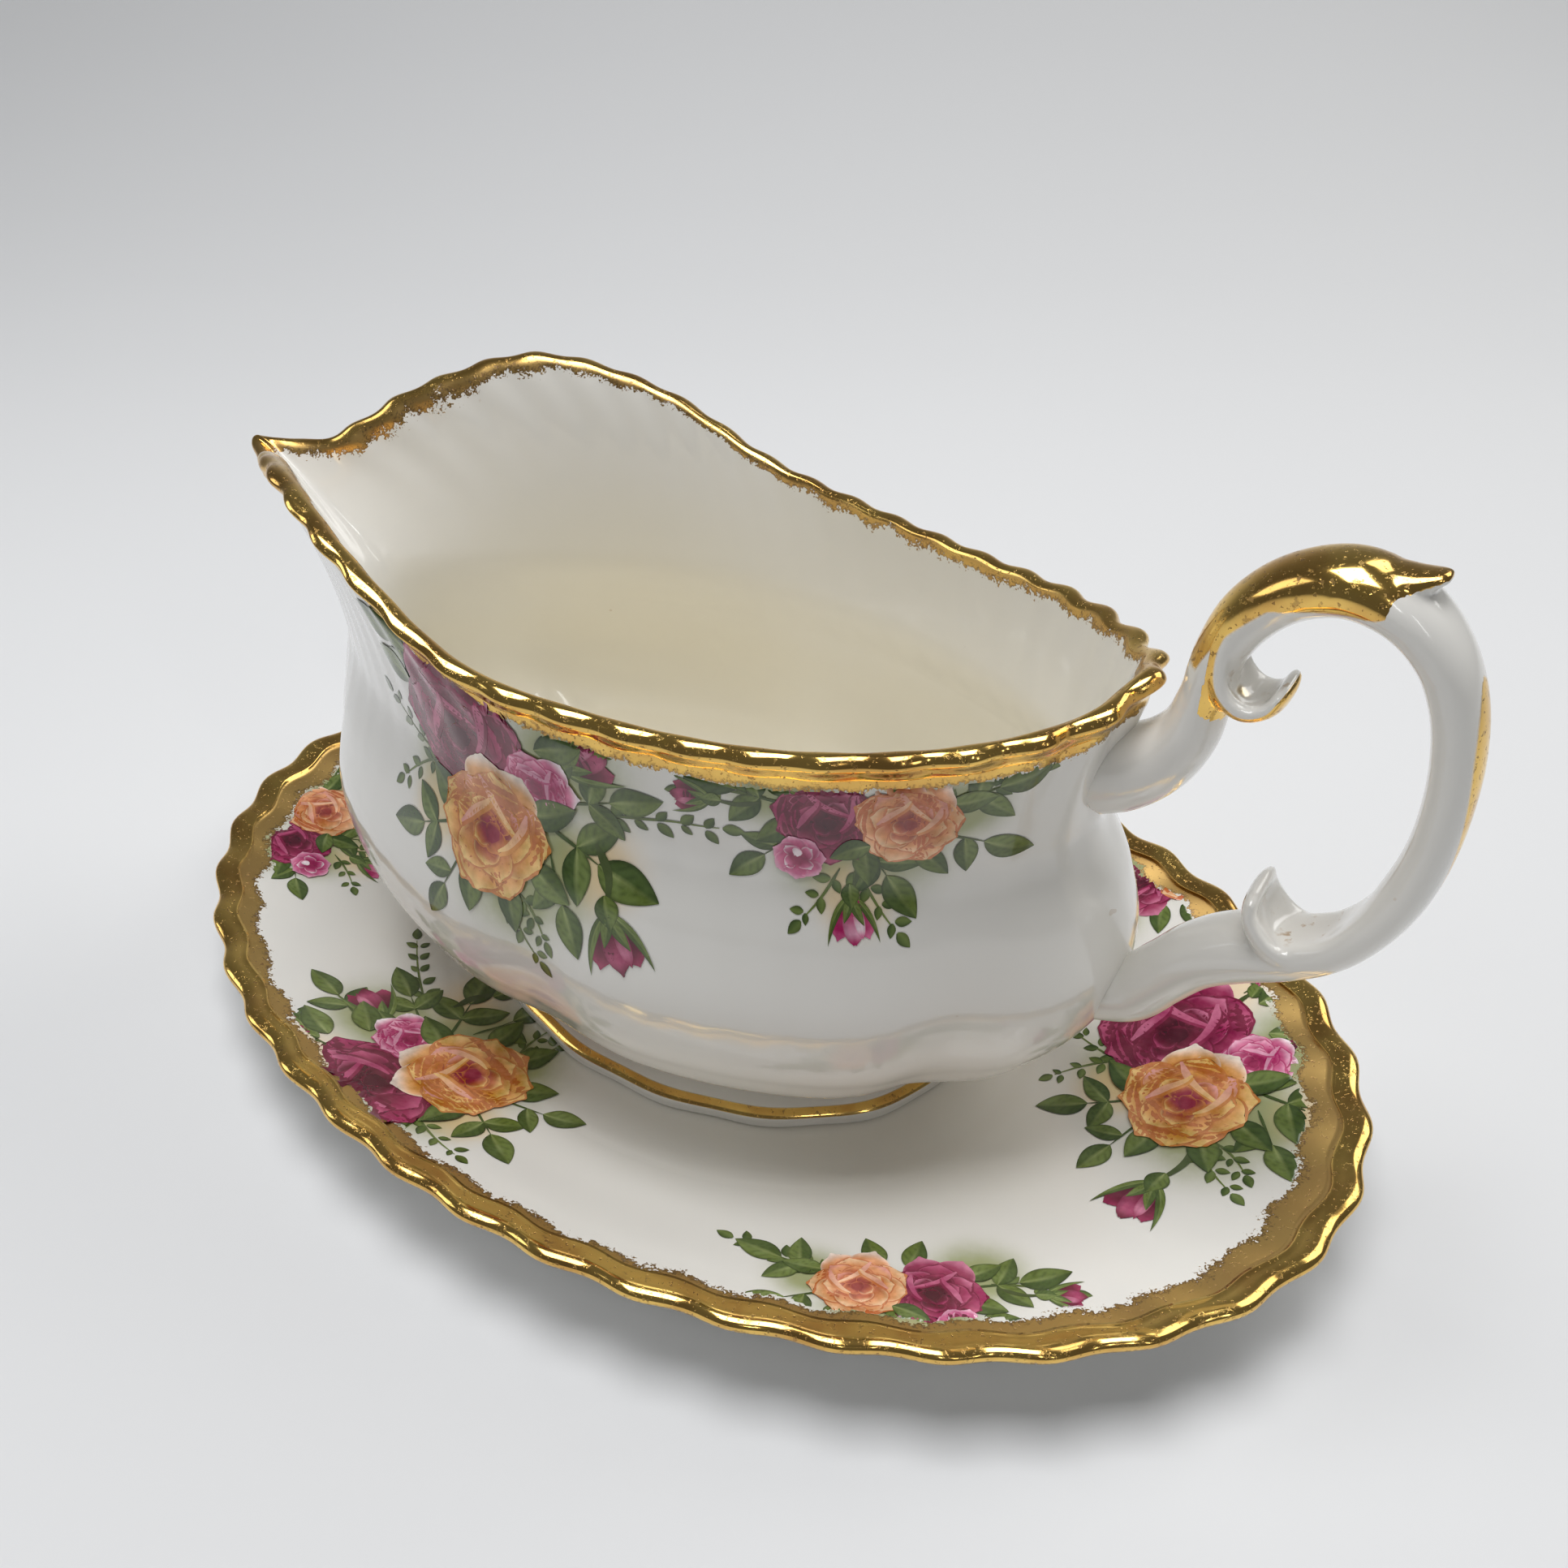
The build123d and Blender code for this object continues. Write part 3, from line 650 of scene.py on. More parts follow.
def handle_paints(points):
    """Gold and stains on the handle, from the nearest place on its paths."""
    x, y, z = points[:, 0], points[:, 1], points[:, 2] - BOWL_BASE

    def nearest(rows):
        at, values, left = path_samples(rows, 24)
        away = (x[:, None] - values[None, :, 0])**2 + (z[:, None] - values[None, :, 1])**2
        i = away.argmin(1)
        distance = np.sqrt(away[np.arange(len(x)), i])
        out = (x - values[i, 0]) * left[i, 0] + (z - values[i, 1]) * left[i, 1]
        return at[i] / at[-1], out / values[i, 2], y / values[i, 3], distance / values[i, 2]

    loop_at, loop_out, loop_side, _ = nearest(LOOP)
    curl_at, curl_out, curl_side, curl_away = nearest(CURL)
    _, scroll_out, scroll_side, scroll_away = nearest(LOWER_SCROLL)
    thumb_at, thumb_out, _, thumb_away = nearest(THUMB_REST)

    # leaf-shaped cap over the top: narrow at its start, its lower edge has two lobes
    start, end = 0.185, 0.39
    share = np.clip((loop_at - start) / (end - start), 0, 1)
    lobes = 0.62 - 0.75 * soft(share, 0.05, 0.5) - 0.34 * np.abs(np.sin(share * math.pi * 2.0 + 0.6))
    lobes = lobes + 1.1 * soft(share, 0.8, 1.0)
    cap = np.minimum(loop_out - lobes, (loop_at - start) * 20)
    cap = np.minimum(cap, (end - loop_at) * 30)
    # the thumb rest's upper side; its underside stays white
    rest = np.where((thumb_at > 0.1) & (thumb_away < 1.9) & (z > 97.5), thumb_out - 0.1, -1.0)
    under_rest = (x > 93.5) & (z > 95.0) & (thumb_out < -0.1)
    cap = np.where(under_rest, -1.0, cap)
    # outside of the curl down to its lip
    curl = np.where((z < 94) & (curl_away < 1.6) & (x > 74.6), -curl_out - 0.12, -1.0)
    curl = np.minimum(curl, 0.9)
    # long drop on the outer back
    drop_at = np.clip((loop_at - 0.44) / 0.25, 0, 1)
    width = 0.8 * np.sin(math.pi * drop_at**0.62) * (1 - 0.55 * drop_at)
    drop = np.where((loop_out > 0.2) & (loop_at > 0.44) & (loop_at < 0.69), width - np.abs(loop_side), -1.0)
    gilt = np.maximum.reduce([cap, rest, curl, drop])
    scroll_stain = soft(-scroll_out, -0.2, 0.4) * (scroll_away < 1.3)
    scroll_stain = scroll_stain * soft(1 - np.abs(scroll_side), 0.2, 0.7)
    curl_stain = soft(curl_out, -0.1, 0.5) * (curl_away < 1.2) * (curl_at > 0.3)
    curl_stain = curl_stain * soft(1 - np.abs(curl_side), 0.2, 0.7)
    return gilt, np.maximum(scroll_stain, curl_stain)


def make_handle():
    points, faces = [], []
    start = 0
    for rows, side in ((LOOP, -1), (CURL, 1), (THUMB_REST, -1), (LOWER_SCROLL, -1)):
        more, found = tube(rows, side)
        points.append(more)
        faces += [[i + start for i in face] for face in found]
        start += len(more)
    rough = mesh_object("handle_draft", np.concatenate(points), faces, china_materials["handle"])
    for kind, settings in (("REMESH", {"mode": "VOXEL", "voxel_size": HANDLE_VOXEL * MM}),
                           ("SMOOTH", {"factor": 0.5, "iterations": 6})):
        modifier = rough.modifiers.new(kind.lower(), kind)
        for name, value in settings.items():
            setattr(modifier, name, value)
    depsgraph = bpy.context.evaluated_depsgraph_get()
    done = bpy.data.meshes.new_from_object(rough.evaluated_get(depsgraph))
    count = len(done.vertices)
    flat = np.empty(count * 3)
    done.vertices.foreach_get("co", flat)
    flat = flat.reshape(-1, 3) / MM
    faces = [list(polygon.vertices) for polygon in done.polygons]
    bpy.data.objects.remove(rough)
    # the roots end in the middle of the bowl's wall
    wall_outside = bowl_point(flat[:, 2] - BOWL_BASE, np.zeros(count))[0] - flat[:, 1] ** 2 / BOWL_END_WIDTH
    near_bowl = flat[:, 0] < ROOTS_END
    flat[:, 0] = np.where(near_bowl, np.maximum(flat[:, 0], wall_outside - WALL / 2), flat[:, 0])
    gilt, stain = handle_paints(flat)
    return mesh_object("boat_handle_china", flat, faces, china_materials["handle"],
                       {"rim": np.full(count, 90.0), "deep": np.zeros(count), "gilt": gilt, "stain": stain})


# ---- flower prints --------------------------------------------------------------------------
# Colours of each flower: heart, deep, body, light, tip and folded edge.
FLOWERS = {
    "crimson": [(84, 10, 36), (116, 16, 52), (158, 34, 84),
                (188, 74, 118), (216, 128, 160), (200, 104, 140)],
    "yellow": [(156, 34, 64), (204, 116, 56), (236, 168, 84),
               (248, 206, 126), (253, 236, 222), (232, 160, 150)],
    "peach": [(158, 60, 54), (206, 110, 66), (240, 166, 108),
              (249, 204, 158), (253, 232, 218), (232, 158, 142)],
    "pink": [(160, 24, 84), (190, 54, 110), (218, 106, 152),
             (240, 176, 202), (253, 236, 242), (236, 160, 190)],
}
LEAF_DARK, LEAF_MID = (38, 54, 24), (72, 94, 40)
LEAF_LIGHT, LEAF_PALE = (124, 142, 68), (168, 180, 108)
STEM = (78, 92, 48)


def light_of(colour):
    return np.array(linear(*colour)[:3])


def axes_of(heading):
    """Unit steps along a heading in degrees and across it."""
    turn = math.radians(heading)
    along = np.array([math.cos(turn), math.sin(turn)])
    return along, np.array([-along[1], along[0]])


PRINT_RISE, PRINT_LAYER = 0.05, 0.0012      # height of the print over the glaze, and of each stroke
PRINT_TUCK = -0.12                          # where its cut edge goes under the gold
PRINT_START = 60                            # it is laid on from this far out
PRINT_STEEPEST = 0.12                       # no print where the glaze turns away more than this
WASH_SPREAD, WASH_DEPTH = 1.2, 12


class Spray:
    """A flower spray drawn flat in millimetres, then laid on the china."""

    def __init__(self, seed):
        self.points, self.tints, self.layers, self.faces = [], [], [], []
        self.count = 0
        self.layer = 0
        self.washes = []
        self.draw = np.random.default_rng(seed)

    def wash(self, u, v, size, green):
        """A soft cloud of colour under the flowers, yellow-green or peach."""
        self.washes.append((u, v, size, green))

    def patch(self, uv, tints):
        """One stroke: a grid of places and colours, laid over what is there already."""
        rows, columns = uv.shape[:2]
        self.points.append(uv.reshape(-1, 2))
        self.tints.append(np.clip(tints, 0.0, 1.0).reshape(-1, 3))
        self.layers.append(np.full(rows * columns, self.layer))
        self.faces += grid_faces(rows, columns, False, self.count)
        self.count += rows * columns
        self.layer += 1

    def ribbon(self, path, width, colour, end_colour=None):
        """A tapering line through a few places."""
        knots = np.array(path, float)
        t = np.linspace(0, 1, 4 * len(knots))
        table = [(i / (len(knots) - 1), *knot) for i, knot in enumerate(knots)]
        middle = np.stack([through(table, 1, t), through(table, 2, t)], -1)
        heading = np.gradient(middle, axis=0)
        heading /= np.linalg.norm(heading, axis=1, keepdims=True) + 1e-9
        side = np.stack([-heading[:, 1], heading[:, 0]], -1)
        half = width / 2 * (1 - 0.75 * t**2) * (0.35 + 0.65 * soft(t, 0, 0.25))
        uv = middle[:, None] + side[:, None] * (np.array([-1, 0, 1])[None, :, None] * half[:, None, None])
        first, last = light_of(colour), light_of(end_colour or colour)
        tints = first + (last - first) * t[:, None, None] + np.zeros((len(t), 3, 3))
        self.patch(uv, tints)

    def petal(self, base, heading, length, width, colours, curl=0.0, rows=13, columns=15):
        """One petal from its base outwards: colours run base, middle, edge."""
        along, across = axes_of(heading)
        t = np.sin(np.linspace(0, 0.97, rows) * math.pi / 2)[:, None] / math.sin(0.97 * math.pi / 2)
        s = np.linspace(-1, 1, columns)[None, :]
        spread = 0.3 + 0.7 * np.sin(math.pi / 2 * np.minimum(t / 0.6, 1))
        spread = spread * np.sqrt(np.maximum(1 - (np.maximum(0, t - 0.6) / 0.4) ** 2, 0.05))
        phase = self.draw.uniform(0, 6)
        ruffle = 0.02 * np.sin(s * 3.2 + phase) * t**3
        reach = t * (1 - 0.05 * s**2) + ruffle
        bend = curl * reach**2
        uv = (np.array(base) + along * (length * reach)[..., None]
              + across * (width / 2 * spread * s + length * bend)[..., None])
        first, middle, edge = (light_of(colour) for colour in colours)
        mid = soft(t, 0.35, 0.85)
        rim = np.maximum(soft(t, 0.74, 0.98), 0.7 * soft(np.abs(s), 0.78, 1.0) * soft(t, 0.35, 0.7))
        tints = first + (middle - first) * mid[..., None] + 0 * s[..., None]
        tints = tints + (edge - tints) * rim[..., None]
        vein = 1 + 0.05 * np.sin(s * 9 + phase) * soft(t, 0.3, 0.7)
        shade = 1 - 0.22 * soft(-s * self.draw.choice([-1, 1]), 0.1, 1.0) * (1 - rim)
        tints = tints * (vein * shade)[..., None]
        self.patch(uv, tints)

    def rose(self, u, v, size, kind, turn=0.0):
        """A full-blown rose seen a little from the side, its heart below the middle."""
        heart, deep, body, light, tip, fold = FLOWERS[kind]
        cos, sin = math.cos(math.radians(turn)), math.sin(math.radians(turn))

        def at(x, y):
            return u + size * (x * cos - y * sin), v + size * (x * sin + y * cos)

        rings = [
            [(64, 1.16, 0.92, tip), (110, 1.18, 0.92, tip)],
            [(14, 1.0, 0.96, light), (166, 1.0, 0.96, light), (-62, 0.98, 0.92, light),
             (-118, 0.98, 0.92, light)],
            [(-18, 0.94, 0.8, light), (198, 0.94, 0.8, light), (-90, 0.98, 0.86, light)],
            [(92, 0.90, 0.84, light), (44, 0.82, 0.66, fold), (142, 0.82, 0.66, fold)],
            [(2, 0.70, 0.66, light), (182, 0.70, 0.66, light), (-64, 0.74, 0.66, light),
             (-120, 0.74, 0.66, light)],
            [(96, 0.62, 0.60, body), (40, 0.52, 0.46, fold), (150, 0.52, 0.46, light),
             (-92, 0.54, 0.5, light)],
            [(60, 0.36, 0.34, deep), (130, 0.36, 0.34, body), (-40, 0.32, 0.34, deep),
             (-130, 0.34, 0.34, light)],
        ]
        between = tuple((low + high) / 2 for low, high in zip(deep, body))
        for depth, ring in enumerate(rings):
            for angle, length, width, edge in ring:
                heading = angle + self.draw.uniform(-6, 6) + turn
                bend = self.draw.uniform(-0.1, 0.1)
                low, middle = (heart, deep) if depth > 4 else (deep, body)
                if depth:
                    self.petal(at(0, -0.12), heading, size * (length + 0.035), size * (width + 0.06),
                               (deep, deep, between), bend, rows=8, columns=9)
                self.petal(at(0, -0.12), heading, size * length, size * width, (low, middle, edge), bend)
        for line in ([(-0.34, 0.62), (-0.12, 0.34), (0.14, 0.14), (0.5, -0.06)],
                     [(-0.56, -0.28), (-0.36, 0.02), (-0.16, 0.24), (-0.08, 0.4)],
                     [(0.52, 0.36), (0.50, 0.1), (0.36, -0.2), (0.2, -0.36)]):
            path = [at(*place) for place in line]
            self.ribbon([(x + 0.03 * size, y - 0.05 * size) for x, y in path], size * 0.15, deep, body)
            self.ribbon(path, size * 0.13, fold, light)
        self.petal(at(0.02, -0.30), 80 + turn, size * 0.3, size * 0.3, (heart, heart, deep), 0.1, 8, 9)

    def bloom(self, u, v, size, kind="pink"):
        """A small round flower with white lights in it."""
        heart, deep, body, light, tip, _ = FLOWERS[kind]
        for i in range(7):
            self.petal((u, v), i * 51.4, size, size * 0.98, (deep, body, light), 0.1, rows=8, columns=9)
        for i in range(4):
            self.petal((u, v), i * 90 + 30, size * 0.66, size * 0.6, (heart, body, tip), 0.25, 8, 9)
        beside = (u - 0.1 * size, v + 0.05 * size)
        self.petal(beside, 70, size * 0.42, size * 0.4, (tip, tip, body), 0.2, 6, 7)
        self.petal((u, v - 0.1 * size), 250, size * 0.3, size * 0.34, (heart, heart, deep), 0.2, 6, 7)

    def leaf(self, u, v, heading, length, width, bend=0.0, pale=0.0):
        """A rose leaf: one half lighter, veins, a pale midrib and a toothed edge."""
        along, across = axes_of(heading)
        t = np.linspace(0, 1, 15)[:, None]
        s = np.linspace(-1, 1, 9)[None, :]
        half = width / 2 * np.sin(math.pi * np.clip(t, 0.004, 0.996) ** 0.8) ** 0.85
        half = half * (1 + 0.07 * np.sin(t * 44))
        uv = (np.array((u, v)) + along * (length * (t + 0.05 * (1 - s**2) * (t - t**2)))[..., None]
              + across * (half * s + bend * length * t**2)[..., None])
        dark, mid, bright, pale_tint = (light_of(c) for c in (LEAF_DARK, LEAF_MID, LEAF_LIGHT, LEAF_PALE))
        side = self.draw.choice([-1, 1])
        lit = soft(s * side, -0.05, 0.35) * 0.62 + pale
        veins = soft(np.cos((t * 5.2 - np.abs(s) * 1.1) * 2 * math.pi), 0.55, 1.0)
        tints = dark + (mid - dark) * (0.55 + 0.45 * np.sin(t * 3)[..., None]) + 0 * s[..., None]
        tints = tints + (bright - tints) * np.clip(lit, 0, 1)[..., None]
        tints = tints + (dark * 0.8 - tints) * (0.38 * veins * soft(np.abs(s), 0.05, 0.3))[..., None]
        tints = tints + (pale_tint - tints) * (0.75 * (1 - soft(np.abs(s), 0.0, 0.14)) * (1 - t))[..., None]
        tints = tints + (dark * 0.7 - tints) * (0.55 * soft(np.abs(s), 0.8, 1.0))[..., None]
        self.patch(uv, tints)

    def leaves(self, u, v, heading, length, count=3):
        """A stalk with a leaf at its end and pairs beside it, as a rose has."""
        turn = math.radians(heading)
        end = (u + length * 0.9 * math.cos(turn), v + length * 0.9 * math.sin(turn))
        self.ribbon([(u, v), ((u + end[0]) / 2, (v + end[1]) / 2), end], length * 0.06, LEAF_MID, STEM)
        for place, angle, size in ((0.5, 58, 0.82), (0.5, -58, 0.82), (0.9, 0, 1.0))[3 - count:]:
            x, y = u + length * place * math.cos(turn), v + length * place * math.sin(turn)
            bend, pale = self.draw.uniform(-0.12, 0.12), self.draw.uniform(0, 0.25)
            self.leaf(x, y, heading + angle, length * size, length * 0.56 * size, bend, pale)

    def sprig(self, u, v, heading, length, pairs=4, leaflet=3.2, curve=0.25):
        """A ferny sprig of small leaflets on a curved stalk."""
        t = np.linspace(0, 1, pairs + 1)
        along, across = axes_of(heading)
        aside = curve * length * t**2
        middle = np.array((u, v)) + along * (length * t)[:, None] + across * aside[:, None]
        self.ribbon(middle[::max(1, pairs // 3)], 0.5, STEM, LEAF_LIGHT)
        for i in range(1, pairs + 1):
            lean = heading + math.degrees(math.atan2(2 * curve * t[i], 1))
            for side in (-1, 1):
                size = leaflet * self.draw.uniform(0.75, 1.1) * (1 - 0.25 * t[i])
                angle = lean + side * self.draw.uniform(38, 62)
                self.small_leaf(middle[i] - along * length * 0.12, angle, size)
        self.small_leaf(middle[-1], lean, leaflet * 0.95)

    def small_leaf(self, base, heading, length):
        along, across = axes_of(heading)
        t = np.linspace(0, 1, 8)[:, None]
        s = np.array([-1, -0.3, 0.3, 1])[None, :]
        half = length * 0.27 * np.sin(math.pi * np.clip(t, 0.02, 0.99) ** 0.8) ** 0.8
        forward = length * (0.12 + 0.88 * t) + 0 * s
        uv = np.asarray(base) + along * forward[..., None] + across * (half * s)[..., None]
        first = light_of(LEAF_MID)
        second = light_of(LEAF_LIGHT)
        share = np.clip(0.35 + 0.45 * s + self.draw.uniform(-0.3, 0.3), 0, 1) + 0 * t
        tints = first + (second - first) * share[..., None]
        tints = tints * (1 - 0.4 * soft(np.abs(s), 0.6, 1.0) + 0 * t)[..., None]
        self.patch(uv, tints)

    def loose_leaves(self, places, length, width):
        """Single leaves at places and headings, each turned, bent and shaded a little."""
        for u, v, heading in places:
            turned = heading + self.draw.uniform(-10, 10)
            bend, pale = self.draw.uniform(-0.12, 0.12), self.draw.uniform(0, 0.3)
            self.leaf(u, v, turned, length, width, bend, pale)

    def bud(self, u, v, heading, size, kind="crimson", stalk=None):
        """A bud with two or three petals showing in a green calyx with curling sepals."""
        heart, deep, body, light, tip, _ = FLOWERS[kind]
        along, across = axes_of(heading)
        base = np.array((u, v))
        if stalk:
            between = (np.array(stalk) + base) / 2 + across * size * 0.12
            self.ribbon([stalk, tuple(between), (u, v)], size * 0.16, STEM)
        self.petal(base, heading + 16, size * 1.0, size * 0.52, (heart, deep, body), 0.1)
        self.petal(base, heading - 16, size * 1.0, size * 0.52, (heart, deep, body), -0.1)
        self.petal(base, heading, size * 1.08, size * 0.46, (deep, light, deep), 0.02)
        beside = base + across * size * 0.1
        self.petal(beside, heading + 4, size * 0.95, size * 0.24, (deep, tip, body), 0.04)
        sepals = ((52, 1.1, 0.17, -0.42), (-52, 1.1, 0.17, 0.42),
                  (14, 0.72, 0.22, 0.12), (-12, 0.62, 0.22, -0.1))
        for angle, length, width, bend in sepals:
            self.leaf(*base, heading + angle, size * length, size * width, bend, 0.25)
        self.leaf(*(base - along * size * 0.26), heading, size * 0.56, size * 0.42, 0.0, 0.15)

    def lay(self, name, china_piece, anchor, outward, up, gold_edge, body, turn=0.0, mirror=1.0):
        """Lay the drawing on the china around an anchor, seen along a direction, and cut it at the gold."""
        outward = Vector(outward).normalized()
        right = Vector(up).cross(outward).normalized()
        above = outward.cross(right)
        uv = np.concatenate(self.points + [np.array(self.washes)[:, :2]])
        cos, sin = math.cos(math.radians(turn)), math.sin(math.radians(turn))
        u = (uv[:, 0] * cos - uv[:, 1] * sin) * mirror
        v = uv[:, 0] * sin + uv[:, 1] * cos
        tints, layers = np.concatenate(self.tints), np.concatenate(self.layers)
        tree = trees[china_piece.name]
        rims = rim_values[china_piece.name]
        for i, (_, _, size, green) in enumerate(self.washes, len(layers)):
            start = Vector(anchor) + right * u[i] + above * v[i] + outward * PRINT_START
            place = tree.ray_cast(start * MM, -outward, 0.1)[0]
            if place is not None:
                washes[china_piece.name].append((np.array(place / MM), size, green, np.array(outward)))
        points, kept = np.zeros((len(layers), 3)), np.zeros(len(layers), int)
        for i in range(len(layers)):
            start = Vector(anchor) + right * u[i] + above * v[i] + outward * PRINT_START
            place, normal, index, _ = tree.ray_cast(start * MM, -outward, 0.1)
            if place is None or normal.dot(outward) < PRINT_STEEPEST:
                continue
            rim = rims[china_piece.data.polygons[index].vertices[0]]
            free = rim > gold_edge if gold_edge > 0 else rim < gold_edge
            kept[i] = 2 if free else 1
            rise = PRINT_RISE + layers[i] * PRINT_LAYER if free else PRINT_TUCK
            points[i] = np.array(place / MM + normal * rise)
        faces = [face if mirror > 0 else face[::-1] for face in self.faces
                 if min(kept[i] for i in face) > 0 and max(kept[i] for i in face) > 1]
        used = np.unique(np.array(faces).ravel())
        number = np.zeros(len(layers), int)
        number[used] = np.arange(len(used))
        colours = np.concatenate([tints[used], np.ones((len(used), 1))], 1)
        piece = mesh_object(name, points[used], [[int(number[i]) for i in face] for face in faces],
                            print_material, {"tint": colours})
        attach(piece, body)
        return piece


def paint_washes(piece, painted_side):
    """Write the soft clouds of colour on the painted side of the china, by the sign of 'rim'."""
    count = len(piece.data.vertices)
    places = np.empty(count * 3)
    piece.data.vertices.foreach_get("co", places)
    places = places.reshape(-1, 3) / MM
    for paint, wanted in (("leafwash", True), ("blush", False)):
        amount = np.zeros(count)
        for centre, size, green, outward in washes[piece.name]:
            if green == wanted:
                offset = places - centre
                deep = offset @ outward
                flat = (offset**2).sum(1) - deep**2
                cloud = np.exp(-flat / (WASH_SPREAD * size)**2) * (np.abs(deep) < WASH_DEPTH)
                amount = np.maximum(amount, cloud)
        amount *= rim_values[piece.name] * painted_side > 0
        layer = piece.data.attributes.new(paint, "FLOAT", "POINT")
        layer.data.foreach_set("value", amount.astype(np.float32))


def make_print_material():
    s = Shader("flower_print")
    tint = s.painted("tint", colour=True)
    cloud = s.noise(190.0, 4.0, 0.6)
    stipple = s.noise(1700.0, 2.0)
    darker = s.node("ShaderNodeHueSaturation", {}, Color=tint, Value=0.72, Saturation=1.1)
    lighter = s.node("ShaderNodeHueSaturation", {}, Color=tint, Value=1.22, Saturation=0.9)
    colour = s.mix(cloud.ramp(0.3, 0.7), darker, lighter)
    colour = s.mix(stipple.ramp(0.45, 0.75) * 0.35, colour, tint)
    bump = s.bump(s.noise(38.0, 2.0), 0.0012, 0.22)
    rough = 0.2 + (cloud - 0.5) * 0.12
    return s.finish(Base_Color=colour, Roughness=rough, Coat_Weight=0.5, Coat_Roughness=0.05, IOR=1.5,
                    Normal=bump)


def large_spray(seed, hanging=(22, -6), stalk=(18, 3)):
    """Two big roses, buds and leaves, with a hanging bud and ferny sprigs."""
    d = Spray(seed)
    d.sprig(-9, 4, 168, 17, 5, 3.6, -0.22)
    d.sprig(-13, 5, 205, 11, 3, 3.2, 0.2)
    d.sprig(4, -10, -68, 11, 3, 3.6, 0.25)
    d.sprig(6, -9, -28, 8, 3, 3.2, -0.3)
    d.sprig(19, 8, 18, 17, 5, 3.6, -0.12)
    d.leaves(-8, -3, 205, 8.5, 3)
    d.leaves(-6, -8, 245, 7.5, 2)
    d.leaves(10, 3, -18, 10.5, 3)
    d.leaves(13, 8, 20, 8.5, 3)
    d.leaves(11, -1, -62, 8.5, 2)
    d.leaves(3, 24, 48, 8.5, 3)
    d.leaves(-12, 20, 150, 8.5, 3)
    d.leaves(12, 18, 38, 8, 3)
    lean = math.degrees(math.atan2(hanging[1] - stalk[1], hanging[0] - stalk[0]))
    d.bud(*hanging, lean, 9.2, "crimson", stalk)
    d.bud(13, 14, 32, 8.5, "crimson", (8, 10))
    d.bud(5, 25, 75, 7.5, "pink", (2, 18))
    for u, v, size, green in ((4, -7, 9, True), (10, -2, 9, True), (-9, 4, 8, True), (14, 14, 8, True),
                              (20, 0, 6, False), (-12, -2, 6, False), (0, 26, 7, False)):
        d.wash(u, v, size, green)
    d.loose_leaves(((-6, 4, 170), (-8, 9, 195), (7, 5, 12), (8, -4, -35), (-3, -8, 255), (4, -8, -70),
                    (-16, 18, 165), (-14, 24, 130), (-4, 26, 100), (6, 22, 50), (9, 16, 10)), 8.5, 5.0)
    d.rose(-6, 15, 12.6, "crimson", 12)
    d.rose(9, 9.5, 6.2, "pink", -60)
    d.leaf(6.5, 3.5, 20, 9, 5.4, 0.1, 0.1)
    d.leaf(-7, -1, 150, 9, 5.0, -0.1, 0.0)
    d.rose(0, 0, 10.8, "yellow", -6)
    return d


def small_spray(seed):
    """A garland of two smaller roses with a bloom, buds and sprigs."""
    d = Spray(seed)
    d.sprig(14, 2, 16, 17, 5, 3.6, 0.1)
    d.sprig(-8, 2, 178, 11, 3, 3.2, 0.15)
    d.sprig(4, -8, -70, 11, 4, 3.2, 0.2)
    d.sprig(2, -9, -112, 9, 3, 3.0, -0.2)
    d.leaves(-5, 1, 168, 8, 3)
    d.leaves(16, 2, 24, 8, 3)
    d.leaves(15, -2, -22, 7.5, 2)
    d.leaves(5, -4, -60, 7.5, 3)
    d.leaves(-4, -4, 222, 6.5, 2)
    d.bud(-15.5, 0, 182, 5.4, "crimson", (-9, 1))
    d.bud(3.5, -13, -84, 6.2, "pink", (4, -6))
    for u, v, size, green in ((0, -6, 6, True), (8, -5, 7, True), (18, 2, 5, True), (-6, 4, 6, True),
                              (4, -13, 5, False)):
        d.wash(u, v, size, green)
    d.loose_leaves(((-4, -2, 200), (-4, 3, 150), (5, -5, -80), (12, -5, -50), (16, 3, 10), (8, 5, 70),
                    (4, 5, 110)), 6.5, 3.8)
    d.rose(0, 0, 7.4, "crimson", 8)
    d.rose(11, 0.6, 7.2, "peach", -10)
    d.leaf(6, -4.5, -160, 6, 3.4, 0.1, 0.1)
    d.bloom(-3.6, -7.6, 3.7)
    return d


# ---- build ----------------------------------------------------------------------------------
BOWL_GOLD, BOWL_GOLD_UNDER = 3.2, -6.6
STAND_GOLD, STAND_GOLD_UNDER = 8.6, -3.2
GOLD_GAP = 0.2      # the prints stop this far from the gold
# The cream amount is how strongly warm bounce light is painted into the china towards the bottom.
china_materials = {
    "bowl": china("bowl_china", BOWL_GOLD, BOWL_GOLD_UNDER, bounce_cream=0.9),
    "stand": china("stand_china", STAND_GOLD, STAND_GOLD_UNDER, bounce_cream=0.35),
    "foot": china("foot_china"),
    "handle": china("handle_china"),
}

bowl = make_bowl()
foot = make_foot()
handle = make_handle()
stand = make_stand()
for piece, node, body in ((bowl, "boat_bowl", "boat"), (foot, "boat_foot", "boat"),
                          (handle, "boat_handle", "boat"), (stand, "stand", "stand")):
    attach(piece, body)
    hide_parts(node)

# ---- where the sprays lie -------------------------------------------------------------------
print_material = make_print_material()
trees, rim_values, washes = {}, {}, {}
for piece in (bowl, stand):
    corners = [vertex.co for vertex in piece.data.vertices]
    sides = [tuple(face.vertices) for face in piece.data.polygons]
    trees[piece.name] = BVHTree.FromPolygons(corners, sides)
    values = np.empty(len(corners), dtype=np.float32)
    piece.data.attributes["rim"].data.foreach_get("value", values)
    rim_values[piece.name] = values
    washes[piece.name] = []

